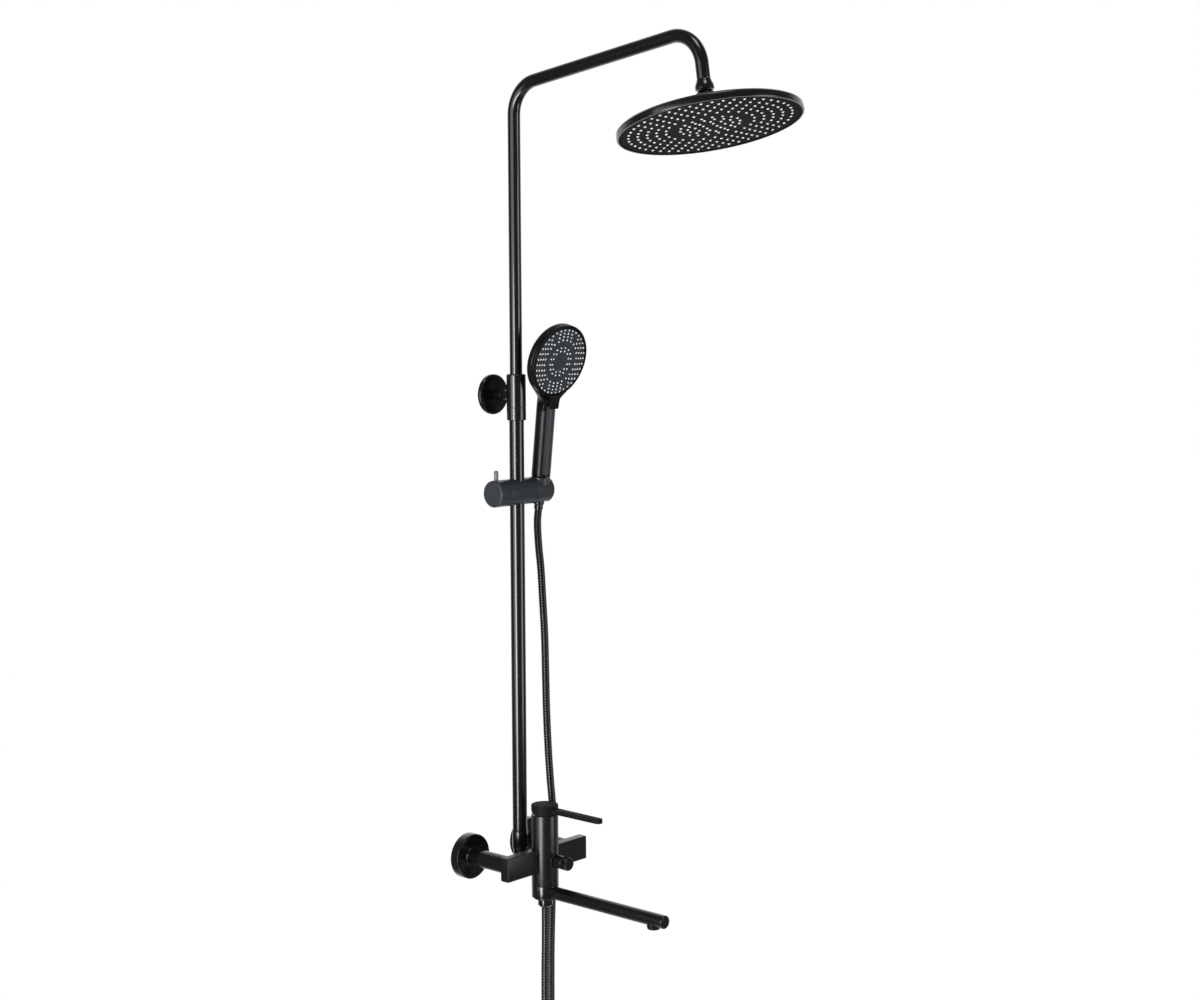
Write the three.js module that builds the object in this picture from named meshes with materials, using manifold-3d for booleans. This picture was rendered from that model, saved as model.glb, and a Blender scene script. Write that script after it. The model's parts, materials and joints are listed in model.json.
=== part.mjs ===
// Wall-mounted rainfall shower column: a single-lever bath mixer with a swivel spout, a telescopic
// riser with a bent overhead arm, a 300 mm rain head on a ball joint, and a hand shower on a slider.
// Millimetres, +Z up. The wall is the plane y = 0 and the room is on its -Y side. The origin lies on
// the wall, midway between the two water inlets and at their height.
import * as THREE from "three";
import { mergeVertices } from "three/addons/utils/BufferGeometryUtils.js";
import Module from "manifold-3d";

const wasm = await Module();
wasm.setup();

// ---------------------------------------------------------------- driving dimensions
const GAP = 0.3; // between pieces that rest on each other
const RUN = 0.5; // between pieces that turn or slide on each other

// Flats on a round surface: wide discs, plain rounds, small rounds, hidden bores, long tubes, nozzles
const FINE = 24;
const ROUND = 16;
const SMALL = 12;
const BORE = 8;
const TUBE = 16;
const NOZZLE_SIDES = 4;
const BEND_STEPS = 5; // chords in a bend of a tube

// Inlets and roses
const INLET_SPACING = 150;
const ROSE_DIAMETER = 80;
const ROSE_DEPTH = 18;
const ROSE_RIM = 6.5;
const UNION_THREAD_DIAMETER = 21;
const COUPLING_DIAMETER = 31;
const COUPLING_WALL = 2;

// Mixer
const MIXER_FROM_WALL = 121;
const BODY_DIAMETER = 48;
const BODY_TOP = 80.5;
const BODY_BOTTOM = -45.5;
const BAR_LENGTH = 202;
const BAR_HEIGHT = 42;
const BAR_DEPTH = 19;
const BAR_AHEAD = 8; // how far the bar's front stands ahead of the body's axis
const BAR_CORNER = 2.5;
const INLET_BORE = 18;
const INLET_BORE_DEPTH = 12;
const CARTRIDGE_DIAMETER = 35;
const CARTRIDGE_HEIGHT = 40;
const CARTRIDGE_NUT_HEIGHT = 8;

// Lever
const HUB_HEIGHT = 17;
const LEVER_REACH = 134; // from the body's axis
const LEVER_WIDTH = 15;
const LEVER_THICKNESS = 8;
const LEVER_LIFT = 22; // degrees
const LEVER_PIVOT_BELOW_TOP = 6.5;
const DOME_RADIUS = 19;
const DOME_OPENING = 24; // diameter, round the spindle
const SPINDLE_DIAMETER = 8;

// Spout
const SPOUT_RING_HEIGHT = 23;
const SPOUT_REACH = 277; // from the body's axis to its tip
const SPOUT_DIAMETER = 23;
const SPOUT_WALL = 2.5;
const SPIGOT_DIAMETER = 30;
const SPIGOT_BORE = 16;
const SEAL_THICKNESS = 2.4;
const GROOVE_DEPTH = 2;
const AERATOR_DIAMETER = 22;
const AERATOR_FROM_TIP = 26;
const AERATOR_HEIGHT = 9;
const AERATOR_PROUD = 3;
const FLANGE_DIAMETER = 41; // keeps the spout on its spigot

// Diverter
const DIVERTER_DIAMETER = 24;
const DIVERTER_REACH = 59; // from the body's axis to the knob's end
const DIVERTER_FLUTES = 12;
const FLUTED_LENGTH = 12;
const BONNET_HEIGHT = 3;

// Riser
const RISER_FROM_WALL = 60;
const LOWER_TUBE_DIAMETER = 26;
const LOWER_TUBE_WALL = 1.5;
const UPPER_TUBE_DIAMETER = 22;
const UPPER_TUBE_WALL = 1.5;
const RISER_FOOT = 9; // height of the lower tube's end
const RISER_NUT_DIAMETER = 28;
const RISER_NUT_TOP = 40;
const ELBOW_HEIGHT = -8;
const ELBOW_DIAMETER = 25;
const ELBOW_BEND_RADIUS = 14;
const CLAMP_DIAMETER = 34;
const CLAMP_BOTTOM = 775;
const CLAMP_TOP = 856;
const UPPER_TUBE_INSERTION = 215; // length of the upper tube held below the clamp

// Wall bracket
const BRACKET_HEIGHT = 819;
const PLATE_DIAMETER = 71;
const PLATE_DEPTH = 7;
const POST_DIAMETER = 18;

// Overhead arm
const ARM_HEIGHT = 1350.5; // where the arm's line meets the riser's axis
const ARM_RISE = 8.4; // degrees
const ARM_LENGTH = 410.7; // between the two corners of the tube's centreline
const ARM_BEND_RADIUS = 56;
const ARM_DROP = 109.5; // from the outer corner to the centre of the ball
const BALL_DIAMETER = 22;
const BALL_NUT_DIAMETER = 31;
const BALL_NUT_BOTTOM = 11; // above the ball's centre
const BALL_NUT_TOP = 28;
const BALL_STEM_DIAMETER = 17.4;
const BALL_NECK_DIAMETER = 12.6;
const HUB_DIAMETER = 33;
const SOCKET_RADIUS = 13.5;

// Overhead head
const HEAD_DIAMETER = 300;
const HEAD_CANT = 5.5; // degrees between the head's axis and the arm's end
const HEAD_TURN = 27; // degrees by which the head stands turned about the arm's end
const HEAD_RIM = 13;
const HEAD_LEDGE = 5; // height of the face's ledge above the rim's lower edge
const HEAD_BELOW_BALL = 49;
const HEAD_WALL = 2;
const HEAD_DOME = 14; // rise of the back above the rim
const FACE_THICKNESS = 3;
const NOZZLE_DIAMETER = 4.4;
const NOZZLE_PROUD = 1.2;
const HEAD_NOZZLE_RINGS = [[131, 12], [101, 9], [71, 6], [36, 3]]; // [radius, count]

// Slider
const SLIDER_HEIGHT = 649;
const SLIDER_DIAMETER = 47;
const SLIDER_LEFT = 61.5; // riser axis to the free end of the lock knob
const SLIDER_RIGHT = 74; // riser axis to the free end of the handset holder
const LOCK_KNOB_LENGTH = 22.5;
const HOLDER_LENGTH = 46;
const BUSH_WALL = 2.5;
const LOCK_PIN_DIAMETER = 8;
const LOCK_PIN_HEIGHT = 17;

// Hand shower
const HANDSET_OFFSET = 54; // riser axis to the handle's axis, along the slider
const HANDSET_AHEAD = 4; // handle's axis ahead of the slider's axis
const HANDSET_LEAN = 6.4; // degrees
const CONE_TOP_DIAMETER = 24;
const CONE_BOTTOM_DIAMETER = 18;
const CONE_TOP = 23.7;
const CONE_BOTTOM = -35;
const HANDLE_FOOT_DIAMETER = 34;
const HANDLE_NECK_DIAMETER = 34;
const HANDLE_TOP = 196;
const HAND_HEAD_DIAMETER = 132;
const HAND_HEAD_HEIGHT = 232.4; // face centre above the holder's axis, along the handle
const HAND_HEAD_AHEAD = 26.1; // face centre ahead of the handle's axis
const HAND_FACE_TILT = 10.9; // degrees between the face and the handle
const HAND_HEAD_DEPTH = 30;
const SELECTOR_RING_WIDTH = 5;
const SELECTOR_THICKNESS = 5.7;
const HAND_NOZZLE_DIAMETER = 2.8;
const HAND_CLUSTERS = 6;
const HAND_CLUSTER_RADII = [39, 50]; // a cluster's inner and outer nozzles
const HAND_INNER_RING = 19;
const TAB_WIDTH = 18;
const TAB_LENGTH = 24;
const TRIM_WIDTH = 17;

// Hose
const HOSE_DIAMETER = 14;
const HOSE_NUT_DIAMETER = 26;
const HOSE_NUT_HEIGHT = 17;
const HOSE_THREAD_DIAMETER = 14;
const STEM_LENGTH = 10.9; // the hand shower's threaded stem, inside the cone nut
const HOSE_STEPS = 42;
const HOSE_SIDES = 6;

// ---------------------------------------------------------------- derived places
const degrees = THREE.MathUtils.degToRad;
const BODY_RADIUS = BODY_DIAMETER / 2;
const BAR_BACK = BAR_DEPTH - BAR_AHEAD; // behind the body's axis
const LEVER_PIVOT = BODY_TOP - LEVER_PIVOT_BELOW_TOP;
const SPOUT_BOTTOM = BODY_BOTTOM - SPOUT_RING_HEIGHT;
const SPOUT_AXIS = SPOUT_BOTTOM + SPOUT_DIAMETER / 2 - 1.5;
const SEAL_HEIGHTS = [SPOUT_BOTTOM + 4, BODY_BOTTOM - 4];
const LOWER_BORE = LOWER_TUBE_DIAMETER - 2 * LOWER_TUBE_WALL;
const CLAMP_LENGTH = CLAMP_TOP - CLAMP_BOTTOM;
const UPPER_TUBE_FOOT = CLAMP_BOTTOM - UPPER_TUBE_INSERTION;
const HEAD_RADIUS = HEAD_DIAMETER / 2;
const HAND_RADIUS = HAND_HEAD_DIAMETER / 2;
const SLIDER_RADIUS = SLIDER_DIAMETER / 2;
const LOCK_SEAM = -(SLIDER_LEFT - LOCK_KNOB_LENGTH);
const HOLDER_SEAM = SLIDER_RIGHT - HOLDER_LENGTH;
const HOSE_START_Z = SPOUT_BOTTOM - 3.3 - HOSE_NUT_HEIGHT;

// ---------------------------------------------------------------- materials
function finish(name, color, roughness, metalness) {
  return new THREE.MeshStandardMaterial({ name, color, roughness, metalness });
}
const MATT_BLACK = finish("matt_black_metal", 0x1c1d1f, 0.42, 0.6);
const BLACK_PLASTIC = finish("black_plastic", 0x18191b, 0.5, 0.0);
const GUNMETAL = finish("gunmetal_plastic", 0x3d4044, 0.45, 0.2);
const SILICONE = finish("pale_silicone", 0xc9cccf, 0.6, 0.0);
const BRASS = finish("raw_brass", 0xb08d4f, 0.35, 1.0);
const NYLON = finish("white_nylon", 0xdadad4, 0.55, 0.0);
const RUBBER = finish("black_rubber", 0x101010, 0.8, 0.0);
const STEEL = finish("stainless_steel", 0xb9bcc0, 0.3, 1.0);

// ---------------------------------------------------------------- solid helpers
// A closed geometry as a manifold-3d solid, with collapsed triangles left out.
function solid(geometry) {
  const bare = geometry.index ? geometry.toNonIndexed() : geometry.clone();
  for (const name of Object.keys(bare.attributes)) {
    if (name !== "position") bare.deleteAttribute(name);
  }
  const merged = mergeVertices(bare, 1e-4);
  const index = [];
  for (let i = 0; i < merged.index.count; i += 3) {
    const [a, b, c] = [0, 1, 2].map((k) => merged.index.getX(i + k));
    if (a !== b && b !== c && c !== a) index.push(a, b, c);
  }
  return new wasm.Manifold(
    new wasm.Mesh({
      numProp: 3,
      vertProperties: new Float32Array(merged.attributes.position.array),
      triVerts: new Uint32Array(index),
    }),
  );
}

function geometryOf(made) {
  const mesh = made.getMesh();
  const geometry = new THREE.BufferGeometry();
  geometry.setAttribute("position", new THREE.BufferAttribute(mesh.vertProperties, 3));
  geometry.setIndex(new THREE.BufferAttribute(mesh.triVerts, 1));
  geometry.computeVertexNormals();
  return geometry;
}

const joined = (first, ...rest) => rest.reduce((sum, part) => sum.add(part), first);
const cut = (first, ...rest) => rest.reduce((left, part) => left.subtract(part), first);

// A piece turned about the Z axis from [radius, height] points. The profile closes on itself,
// or starts and ends on the axis.
function turned(profile, sides = ROUND) {
  const points = profile.map(([r, z]) => new THREE.Vector2(r, z));
  const onAxis = points[0].x === 0 && points.at(-1).x === 0;
  if (!onAxis) points.push(points[0].clone());
  if (THREE.ShapeUtils.isClockWise(points)) points.reverse();
  return new THREE.LatheGeometry(points, sides).rotateX(Math.PI / 2);
}

// A plain disc or rod about Z between two heights, with chamfered ends.
function rod(diameter, low, high, chamfer = 0, sides = ROUND) {
  const r = diameter / 2;
  if (!chamfer) return turned([[0, low], [r, low], [r, high], [0, high]], sides);
  const c = chamfer;
  return turned([[0, low], [r - c, low], [r, low + c], [r, high - c], [r - c, high], [0, high]], sides);
}

// A ring about Z between two heights.
function ring(outer, inner, low, high, chamfer = 0, sides = ROUND) {
  const [a, b, c] = [inner / 2, outer / 2, chamfer];
  if (!c) return turned([[a, low], [b, low], [b, high], [a, high]], sides);
  return turned([[a, low], [b - c, low], [b, low + c], [b, high - c], [b - c, high], [a, high]], sides);
}

const alongX = (geometry) => geometry.rotateY(Math.PI / 2); // +Z goes to +X
const alongFront = (geometry) => geometry.rotateX(Math.PI / 2); // +Z goes to -Y
const alongBack = (geometry) => geometry.rotateX(-Math.PI / 2); // +Z goes to +Y

function block(x0, x1, y0, y1, z0, z1) {
  return new THREE.BoxGeometry(x1 - x0, y1 - y0, z1 - z0).translate(
    (x0 + x1) / 2,
    (y0 + y1) / 2,
    (z0 + z1) / 2,
  );
}

function roundedRectangle(width, height, radius, arc = 2) {
  const [a, b, r] = [width / 2, height / 2, radius];
  const shape = new THREE.Shape();
  const corners = [[a - r, b - r, 0], [r - a, b - r, 90], [r - a, r - b, 180], [a - r, r - b, 270]];
  const points = corners.flatMap(([x, y, start]) =>
    Array.from({ length: arc + 1 }, (_, i) => {
      const angle = degrees(start + (90 * i) / arc);
      return new THREE.Vector2(x + r * Math.cos(angle), y + r * Math.sin(angle));
    }),
  );
  shape.setFromPoints(points);
  return shape;
}

// A tube's section: a round outline with a round bore.
function annulus(outer, inner, sides) {
  const circle = (radius) =>
    Array.from({ length: sides }, (_, i) => {
      const angle = (2 * Math.PI * i) / sides;
      return new THREE.Vector2(radius * Math.cos(angle), radius * Math.sin(angle));
    });
  const shape = new THREE.Shape(circle(outer / 2));
  if (inner) shape.holes.push(new THREE.Path(circle(inner / 2)));
  return shape;
}

// A path through straight lines with rounded corners: one step along each line and a few round
// each bend, so that a long tube stays light.
class BentPath extends THREE.Curve {
  constructor(corners, radius, arcSteps) {
    super();
    this.stations = [{ point: corners[0], tangent: corners[1].clone().sub(corners[0]).normalize() }];
    for (let i = 1; i + 1 < corners.length; i++) {
      const arrive = corners[i].clone().sub(corners[i - 1]).normalize();
      const leave = corners[i + 1].clone().sub(corners[i]).normalize();
      const turn = arrive.angleTo(leave);
      const start = corners[i].clone().addScaledVector(arrive, -radius * Math.tan(turn / 2));
      const inward = leave.clone().addScaledVector(arrive, -leave.dot(arrive)).normalize();
      const centre = start.clone().addScaledVector(inward, radius);
      for (let k = 0; k <= arcSteps; k++) {
        const angle = (turn * k) / arcSteps;
        const tangent = arrive.clone().multiplyScalar(Math.cos(angle));
        tangent.addScaledVector(inward, Math.sin(angle));
        const point = centre.clone().addScaledVector(inward, -radius * Math.cos(angle));
        point.addScaledVector(arrive, radius * Math.sin(angle));
        this.stations.push({ point, tangent });
      }
    }
    const last = corners.at(-1);
    this.stations.push({ point: last, tangent: last.clone().sub(corners.at(-2)).normalize() });
  }
  get steps() {
    return this.stations.length - 1;
  }
  station(u) {
    return this.stations[Math.round(u * this.steps)];
  }
  getPointAt(u) {
    return this.station(u).point.clone();
  }
  getTangentAt(u) {
    return this.station(u).tangent.clone();
  }
}

function sweep(shape, path, steps) {
  return new THREE.ExtrudeGeometry(shape, { steps, extrudePath: path, bevelEnabled: false });
}

// ---------------------------------------------------------------- the scene graph
const column = new THREE.Group();
column.name = "shower_column";

function place(parent, x, y, z, tilt = 0) {
  const group = new THREE.Group();
  group.position.set(x, y, z);
  group.rotation.x = tilt;
  parent.add(group);
  return group;
}

function add(parent, name, shape, material) {
  const geometry = shape.isBufferGeometry ? geometryOf(solid(shape)) : geometryOf(shape);
  const mesh = new THREE.Mesh(geometry, material);
  mesh.name = name;
  parent.add(mesh);
  return mesh;
}

const mixer = place(column, 0, -MIXER_FROM_WALL, 0);
const riser = place(column, 0, -RISER_FROM_WALL, 0);

// ---------------------------------------------------------------- inlets
function addInlet(side, x) {
  const inlet = place(column, x, 0, 0);
  const barBack = MIXER_FROM_WALL - BAR_BACK; // distance of the bar's back from the wall
  const couplingRadius = COUPLING_DIAMETER / 2;
  const couplingStart = ROSE_DEPTH - 8;
  const washerFace = barBack - GAP;
  const washerDepth = 2;
  const r = ROSE_DIAMETER / 2;
  const hole = couplingRadius + RUN;
  const rose = [
    [r, 0], [r, ROSE_DEPTH - 1.8], [r - 1.8, ROSE_DEPTH], [hole, ROSE_DEPTH],
    [hole, ROSE_DEPTH - 2.5], [r - ROSE_RIM, ROSE_DEPTH - 3.5], [r - ROSE_RIM, 0],
  ];
  add(inlet, `rose_${side}`, alongFront(turned(rose, ROUND)), MATT_BLACK);
  const union = [
    [7, 0.5], [UNION_THREAD_DIAMETER / 2, 0.5], [UNION_THREAD_DIAMETER / 2, 30], [13, 30],
    [13, washerFace - washerDepth - GAP], [7, washerFace - washerDepth - GAP],
  ];
  add(inlet, `s_union_${side}`, alongFront(turned(union, SMALL)), BRASS);
  const inner = couplingRadius - COUPLING_WALL;
  const coupling = [
    [inner, couplingStart], [couplingRadius - 1, couplingStart], [couplingRadius, couplingStart + 1],
    [couplingRadius, barBack - 1.3], [couplingRadius - 1, barBack - GAP], [inner, barBack - GAP],
  ];
  add(inlet, `coupling_nut_${side}`, alongFront(turned(coupling, ROUND)), MATT_BLACK);
  const washer = ring(24, 15, washerFace - washerDepth, washerFace, 0, SMALL);
  add(inlet, `inlet_washer_${side}`, alongFront(washer), RUBBER);
}
addInlet("left", -INLET_SPACING / 2);
addInlet("right", INLET_SPACING / 2);

// ---------------------------------------------------------------- mixer body
function mixerBody() {
  const edge = 0.8;
  const spigot = SPIGOT_DIAMETER / 2;
  const grooves = SEAL_HEIGHTS.flatMap((height) => {
    const half = SEAL_THICKNESS / 2 + 0.2;
    return [
      [spigot, height - half], [spigot - GROOVE_DEPTH, height - half],
      [spigot - GROOVE_DEPTH, height + half], [spigot, height + half],
    ];
  });
  const barrel = solid(turned([
    [0, SPOUT_BOTTOM], [spigot, SPOUT_BOTTOM], ...grooves,
    [spigot, BODY_BOTTOM], [BODY_RADIUS - edge, BODY_BOTTOM],
    [BODY_RADIUS, BODY_BOTTOM + edge], [BODY_RADIUS, BODY_TOP - edge],
    [BODY_RADIUS - edge, BODY_TOP], [0, BODY_TOP],
  ], FINE));
  const shape = roundedRectangle(BAR_DEPTH, BAR_HEIGHT, BAR_CORNER);
  const bar = new THREE.ExtrudeGeometry(shape, { depth: BAR_LENGTH, bevelEnabled: false, steps: 1 });
  bar.rotateY(Math.PI / 2).rotateX(Math.PI / 2);
  bar.computeBoundingBox();
  const middle = bar.boundingBox.getCenter(new THREE.Vector3());
  bar.translate(-middle.x, (BAR_BACK - BAR_AHEAD) / 2 - middle.y, -middle.z);
  const cartridgeFloor = BODY_TOP - CARTRIDGE_HEIGHT - CARTRIDGE_NUT_HEIGHT;
  const cartridgeBore = rod(CARTRIDGE_DIAMETER + 2 * RUN, cartridgeFloor, BODY_TOP + 1, 0, ROUND);
  const inletBores = [-1, 1].map((side) =>
    solid(alongBack(rod(INLET_BORE, BAR_BACK - INLET_BORE_DEPTH, BAR_BACK + 1, 0, SMALL)).translate(
      (side * INLET_SPACING) / 2, 0, 0,
    )),
  );
  const spigotBore = rod(SPIGOT_BORE, SPOUT_BOTTOM - 1, BODY_BOTTOM + 14, 0, SMALL);
  const diverterBore = alongFront(rod(16, 0, BODY_RADIUS + 1, 0, SMALL));
  const riserBore = alongBack(rod(14, 0, BODY_RADIUS + 1, 0, SMALL)).translate(0, 0, ELBOW_HEIGHT);
  const crossBore = alongX(rod(10, -INLET_SPACING / 2, INLET_SPACING / 2, 0, BORE));
  const spoutPort = alongFront(rod(9, 0, SPIGOT_DIAMETER / 2 + 1, 0, BORE));
  spoutPort.translate(0, 0, SPOUT_AXIS);
  const whole = joined(barrel, solid(bar));
  return cut(
    whole,
    solid(cartridgeBore),
    ...inletBores,
    solid(spigotBore),
    solid(diverterBore),
    solid(riserBore),
    solid(crossBore),
    solid(spoutPort),
  );
}
add(mixer, "mixer_body", mixerBody(), MATT_BLACK);

// ---------------------------------------------------------------- cartridge and lever
function addCartridge() {
  const floor = BODY_TOP - CARTRIDGE_HEIGHT - CARTRIDGE_NUT_HEIGHT + GAP;
  const top = BODY_TOP - CARTRIDGE_NUT_HEIGHT;
  const well = 9.5;
  const r = CARTRIDGE_DIAMETER / 2;
  add(mixer, "cartridge", turned([
    [0, floor], [r, floor], [r, top - 12], [r - 2.5, top - 12], [r - 2.5, top - 1], [r - 3.5, top],
    [well, top], [well, top - 16], [0, top - 16],
  ], SMALL), NYLON);
  const nutDiameter = CARTRIDGE_DIAMETER + 2 * RUN - 2 * GAP;
  const nut = ring(nutDiameter, 2 * (well + 3), top + GAP, BODY_TOP - GAP, 0, ROUND);
  const slots = [0, 60, 120].map((angle) =>
    solid(block(-r - 2, r + 2, -2, 2, BODY_TOP - 4, BODY_TOP + 1).rotateZ(degrees(angle))),
  );
  add(mixer, "cartridge_nut", cut(solid(nut), ...slots), BRASS);
}
addCartridge();

// The dome turns with the lever and closes the cartridge. It is part of a ball about the lever's
// pivot, so the lever tilts over it with an even gap.
function leverDome() {
  const seat = BODY_TOP + GAP;
  const steps = 4;
  const low = Math.asin((seat - LEVER_PIVOT) / DOME_RADIUS);
  const high = Math.acos(DOME_OPENING / 2 / DOME_RADIUS);
  const arc = Array.from({ length: steps + 1 }, (_, i) => {
    const angle = low + ((high - low) * i) / steps;
    return [DOME_RADIUS * Math.cos(angle), LEVER_PIVOT + DOME_RADIUS * Math.sin(angle)];
  });
  return turned([[DOME_OPENING / 2, seat], ...arc], ROUND);
}
const leverPivot = place(mixer, 0, 0, LEVER_PIVOT);
add(mixer, "lever_dome", leverDome(), MATT_BLACK);

function leverSolid() {
  const low = BODY_TOP + RUN - LEVER_PIVOT;
  const high = low + HUB_HEIGHT;
  const edge = 1.2;
  const r = BODY_RADIUS;
  const hub = solid(turned([
    [0, low], [r - 0.8, low], [r, low + 0.8], [r, high - edge], [r - edge, high], [0, high],
  ], FINE));
  const shape = new THREE.Shape();
  const tip = LEVER_WIDTH / 2;
  shape.moveTo(-LEVER_WIDTH / 2 - 1, 0);
  shape.lineTo(-tip, LEVER_REACH - tip);
  shape.absarc(0, LEVER_REACH - tip, tip, Math.PI, 0, true);
  shape.lineTo(LEVER_WIDTH / 2 + 1, 0);
  const blade = new THREE.ExtrudeGeometry(shape, {
    depth: LEVER_THICKNESS - 2, bevelEnabled: true, bevelThickness: 1, bevelSize: 1, bevelOffset: -1,
    bevelSegments: 1, curveSegments: 4,
  });
  blade.rotateX(Math.PI).translate(0, 0, (low + high) / 2 + LEVER_THICKNESS / 2 - 1);
  // Underside relief, so that the hub's rear edge clears the body when the lever is lifted.
  const relief = block(-r - 1, r + 1, 0, 3 * r, -2 * r, 0).rotateX(degrees(LEVER_LIFT));
  relief.translate(0, -1, low + GAP);
  const ball = new THREE.SphereGeometry(DOME_RADIUS + RUN, 24, 12).rotateX(Math.PI / 2);
  const stem = rod(SPINDLE_DIAMETER + 2 * GAP, 0, high - 4, 0, SMALL);
  return cut(joined(hub, solid(blade)), solid(relief), solid(ball), solid(stem));
}
add(leverPivot, "lever", leverSolid(), MATT_BLACK);
const spindleTop = BODY_TOP + RUN - LEVER_PIVOT + HUB_HEIGHT - 4 - GAP;
const spindle = turned([
  [0, -5], [5, -4], [5, 0], [SPINDLE_DIAMETER / 2, 2], [SPINDLE_DIAMETER / 2, spindleTop],
  [0, spindleTop],
], SMALL);
add(leverPivot, "lever_spindle", spindle, STEEL);

// ---------------------------------------------------------------- spout
function spoutSolid() {
  const low = SPOUT_BOTTOM;
  const high = BODY_BOTTOM - RUN;
  const tip = SPOUT_REACH;
  const r = SPOUT_DIAMETER / 2;
  const bore = r - SPOUT_WALL;
  const outletAt = tip - AERATOR_FROM_TIP;
  const collar = solid(ring(BODY_DIAMETER, SPIGOT_DIAMETER + 2 * RUN, low, high, 0.8, FINE));
  const pipe = solid(alongFront(turned([
    [0, BODY_RADIUS - 8], [r, BODY_RADIUS - 8], [r, tip - 5], [r - 1.2, tip - 2], [r - 4, tip], [0, tip],
  ], ROUND)).translate(0, 0, SPOUT_AXIS));
  const lip = solid(rod(AERATOR_DIAMETER + 2, SPOUT_AXIS - r - 1.5, SPOUT_AXIS - 4, 0.8, ROUND)
    .translate(0, -outletAt, 0));
  const waterway = solid(alongFront(rod(2 * bore, 0, outletAt + 4, 0, SMALL))
    .translate(0, 0, SPOUT_AXIS));
  const spigotRoom = solid(rod(SPIGOT_DIAMETER + 2 * RUN, low - 1, high + 1, 0, ROUND));
  const outlet = solid(rod(AERATOR_DIAMETER - 2, SPOUT_AXIS - r - 3, SPOUT_AXIS, 0, ROUND)
    .translate(0, -outletAt, 0));
  const bodyRoom = solid(rod(BODY_DIAMETER + 2 * RUN, high, high + 20, 0, FINE));
  const flangeRoom = solid(rod(FLANGE_DIAMETER + 2 * RUN, low - 20, low, 0, ROUND));
  return cut(joined(collar, pipe, lip), waterway, spigotRoom, outlet, bodyRoom, flangeRoom);
}
add(mixer, "spout", spoutSolid(), MATT_BLACK);

function aeratorSolid() {
  const outletAt = SPOUT_REACH - AERATOR_FROM_TIP;
  const mouth = SPOUT_AXIS - SPOUT_DIAMETER / 2 - 1.5;
  const low = mouth - AERATOR_PROUD;
  const r = AERATOR_DIAMETER / 2;
  const neck = r - 1 - GAP;
  const cup = solid(turned([
    [0, mouth - 1], [r - 3, mouth - 1], [r - 3, low], [r - 0.6, low], [r, low + 0.6], [r, mouth - GAP],
    [neck, mouth - GAP], [neck, low + AERATOR_HEIGHT], [0, low + AERATOR_HEIGHT],
  ], ROUND));
  return geometryOf(cup).translate(0, -outletAt, 0);
}
add(mixer, "aerator", aeratorSolid(), BLACK_PLASTIC);
["lower", "upper"].forEach((name, i) => {
  const half = SEAL_THICKNESS / 2;
  const height = SEAL_HEIGHTS[i];
  const inner = SPIGOT_DIAMETER - 2 * GROOVE_DEPTH + 2 * GAP;
  const outer = SPIGOT_DIAMETER + 2 * (RUN - GAP);
  add(mixer, `spout_seal_${name}`, ring(outer, inner, height - half, height + half, 0, ROUND), RUBBER);
});

// ---------------------------------------------------------------- hose outlet under the mixer
function addHoseOutlet() {
  const flangeTop = SPOUT_BOTTOM - RUN;
  const flangeLow = flangeTop - 2.5;
  const nutTop = flangeLow - GAP;
  const neck = 8;
  const flange = FLANGE_DIAMETER / 2;
  add(mixer, "hose_outlet", turned([
    [5, nutTop - 9], [neck, nutTop - 9], [neck, flangeLow], [flange - 0.5, flangeLow],
    [flange, flangeLow + 0.5], [flange, flangeTop],
    [SPIGOT_BORE / 2 - GAP, flangeTop], [SPIGOT_BORE / 2 - GAP, flangeTop + 12],
    [5, flangeTop + 12],
  ], ROUND), MATT_BLACK);
  const r = HOSE_NUT_DIAMETER / 2;
  const low = HOSE_START_Z + GAP;
  const nut = solid(turned([
    [0, low], [HOSE_DIAMETER / 2 + 1, low], [r - 1.5, low + 3.5], [r, low + 5], [r, nutTop - 1],
    [r - 1, nutTop], [neck + GAP, nutTop], [neck + GAP, nutTop - 9.5], [0, nutTop - 9.5],
  ], ROUND));
  const flats = [0, 1].map((side) =>
    solid(block(-r, r, r - 1.2, r + 2, low + 6, nutTop - 2.5).rotateZ(side * Math.PI)),
  );
  add(mixer, "hose_nut_lower", cut(nut, ...flats), MATT_BLACK);
}
addHoseOutlet();

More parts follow.
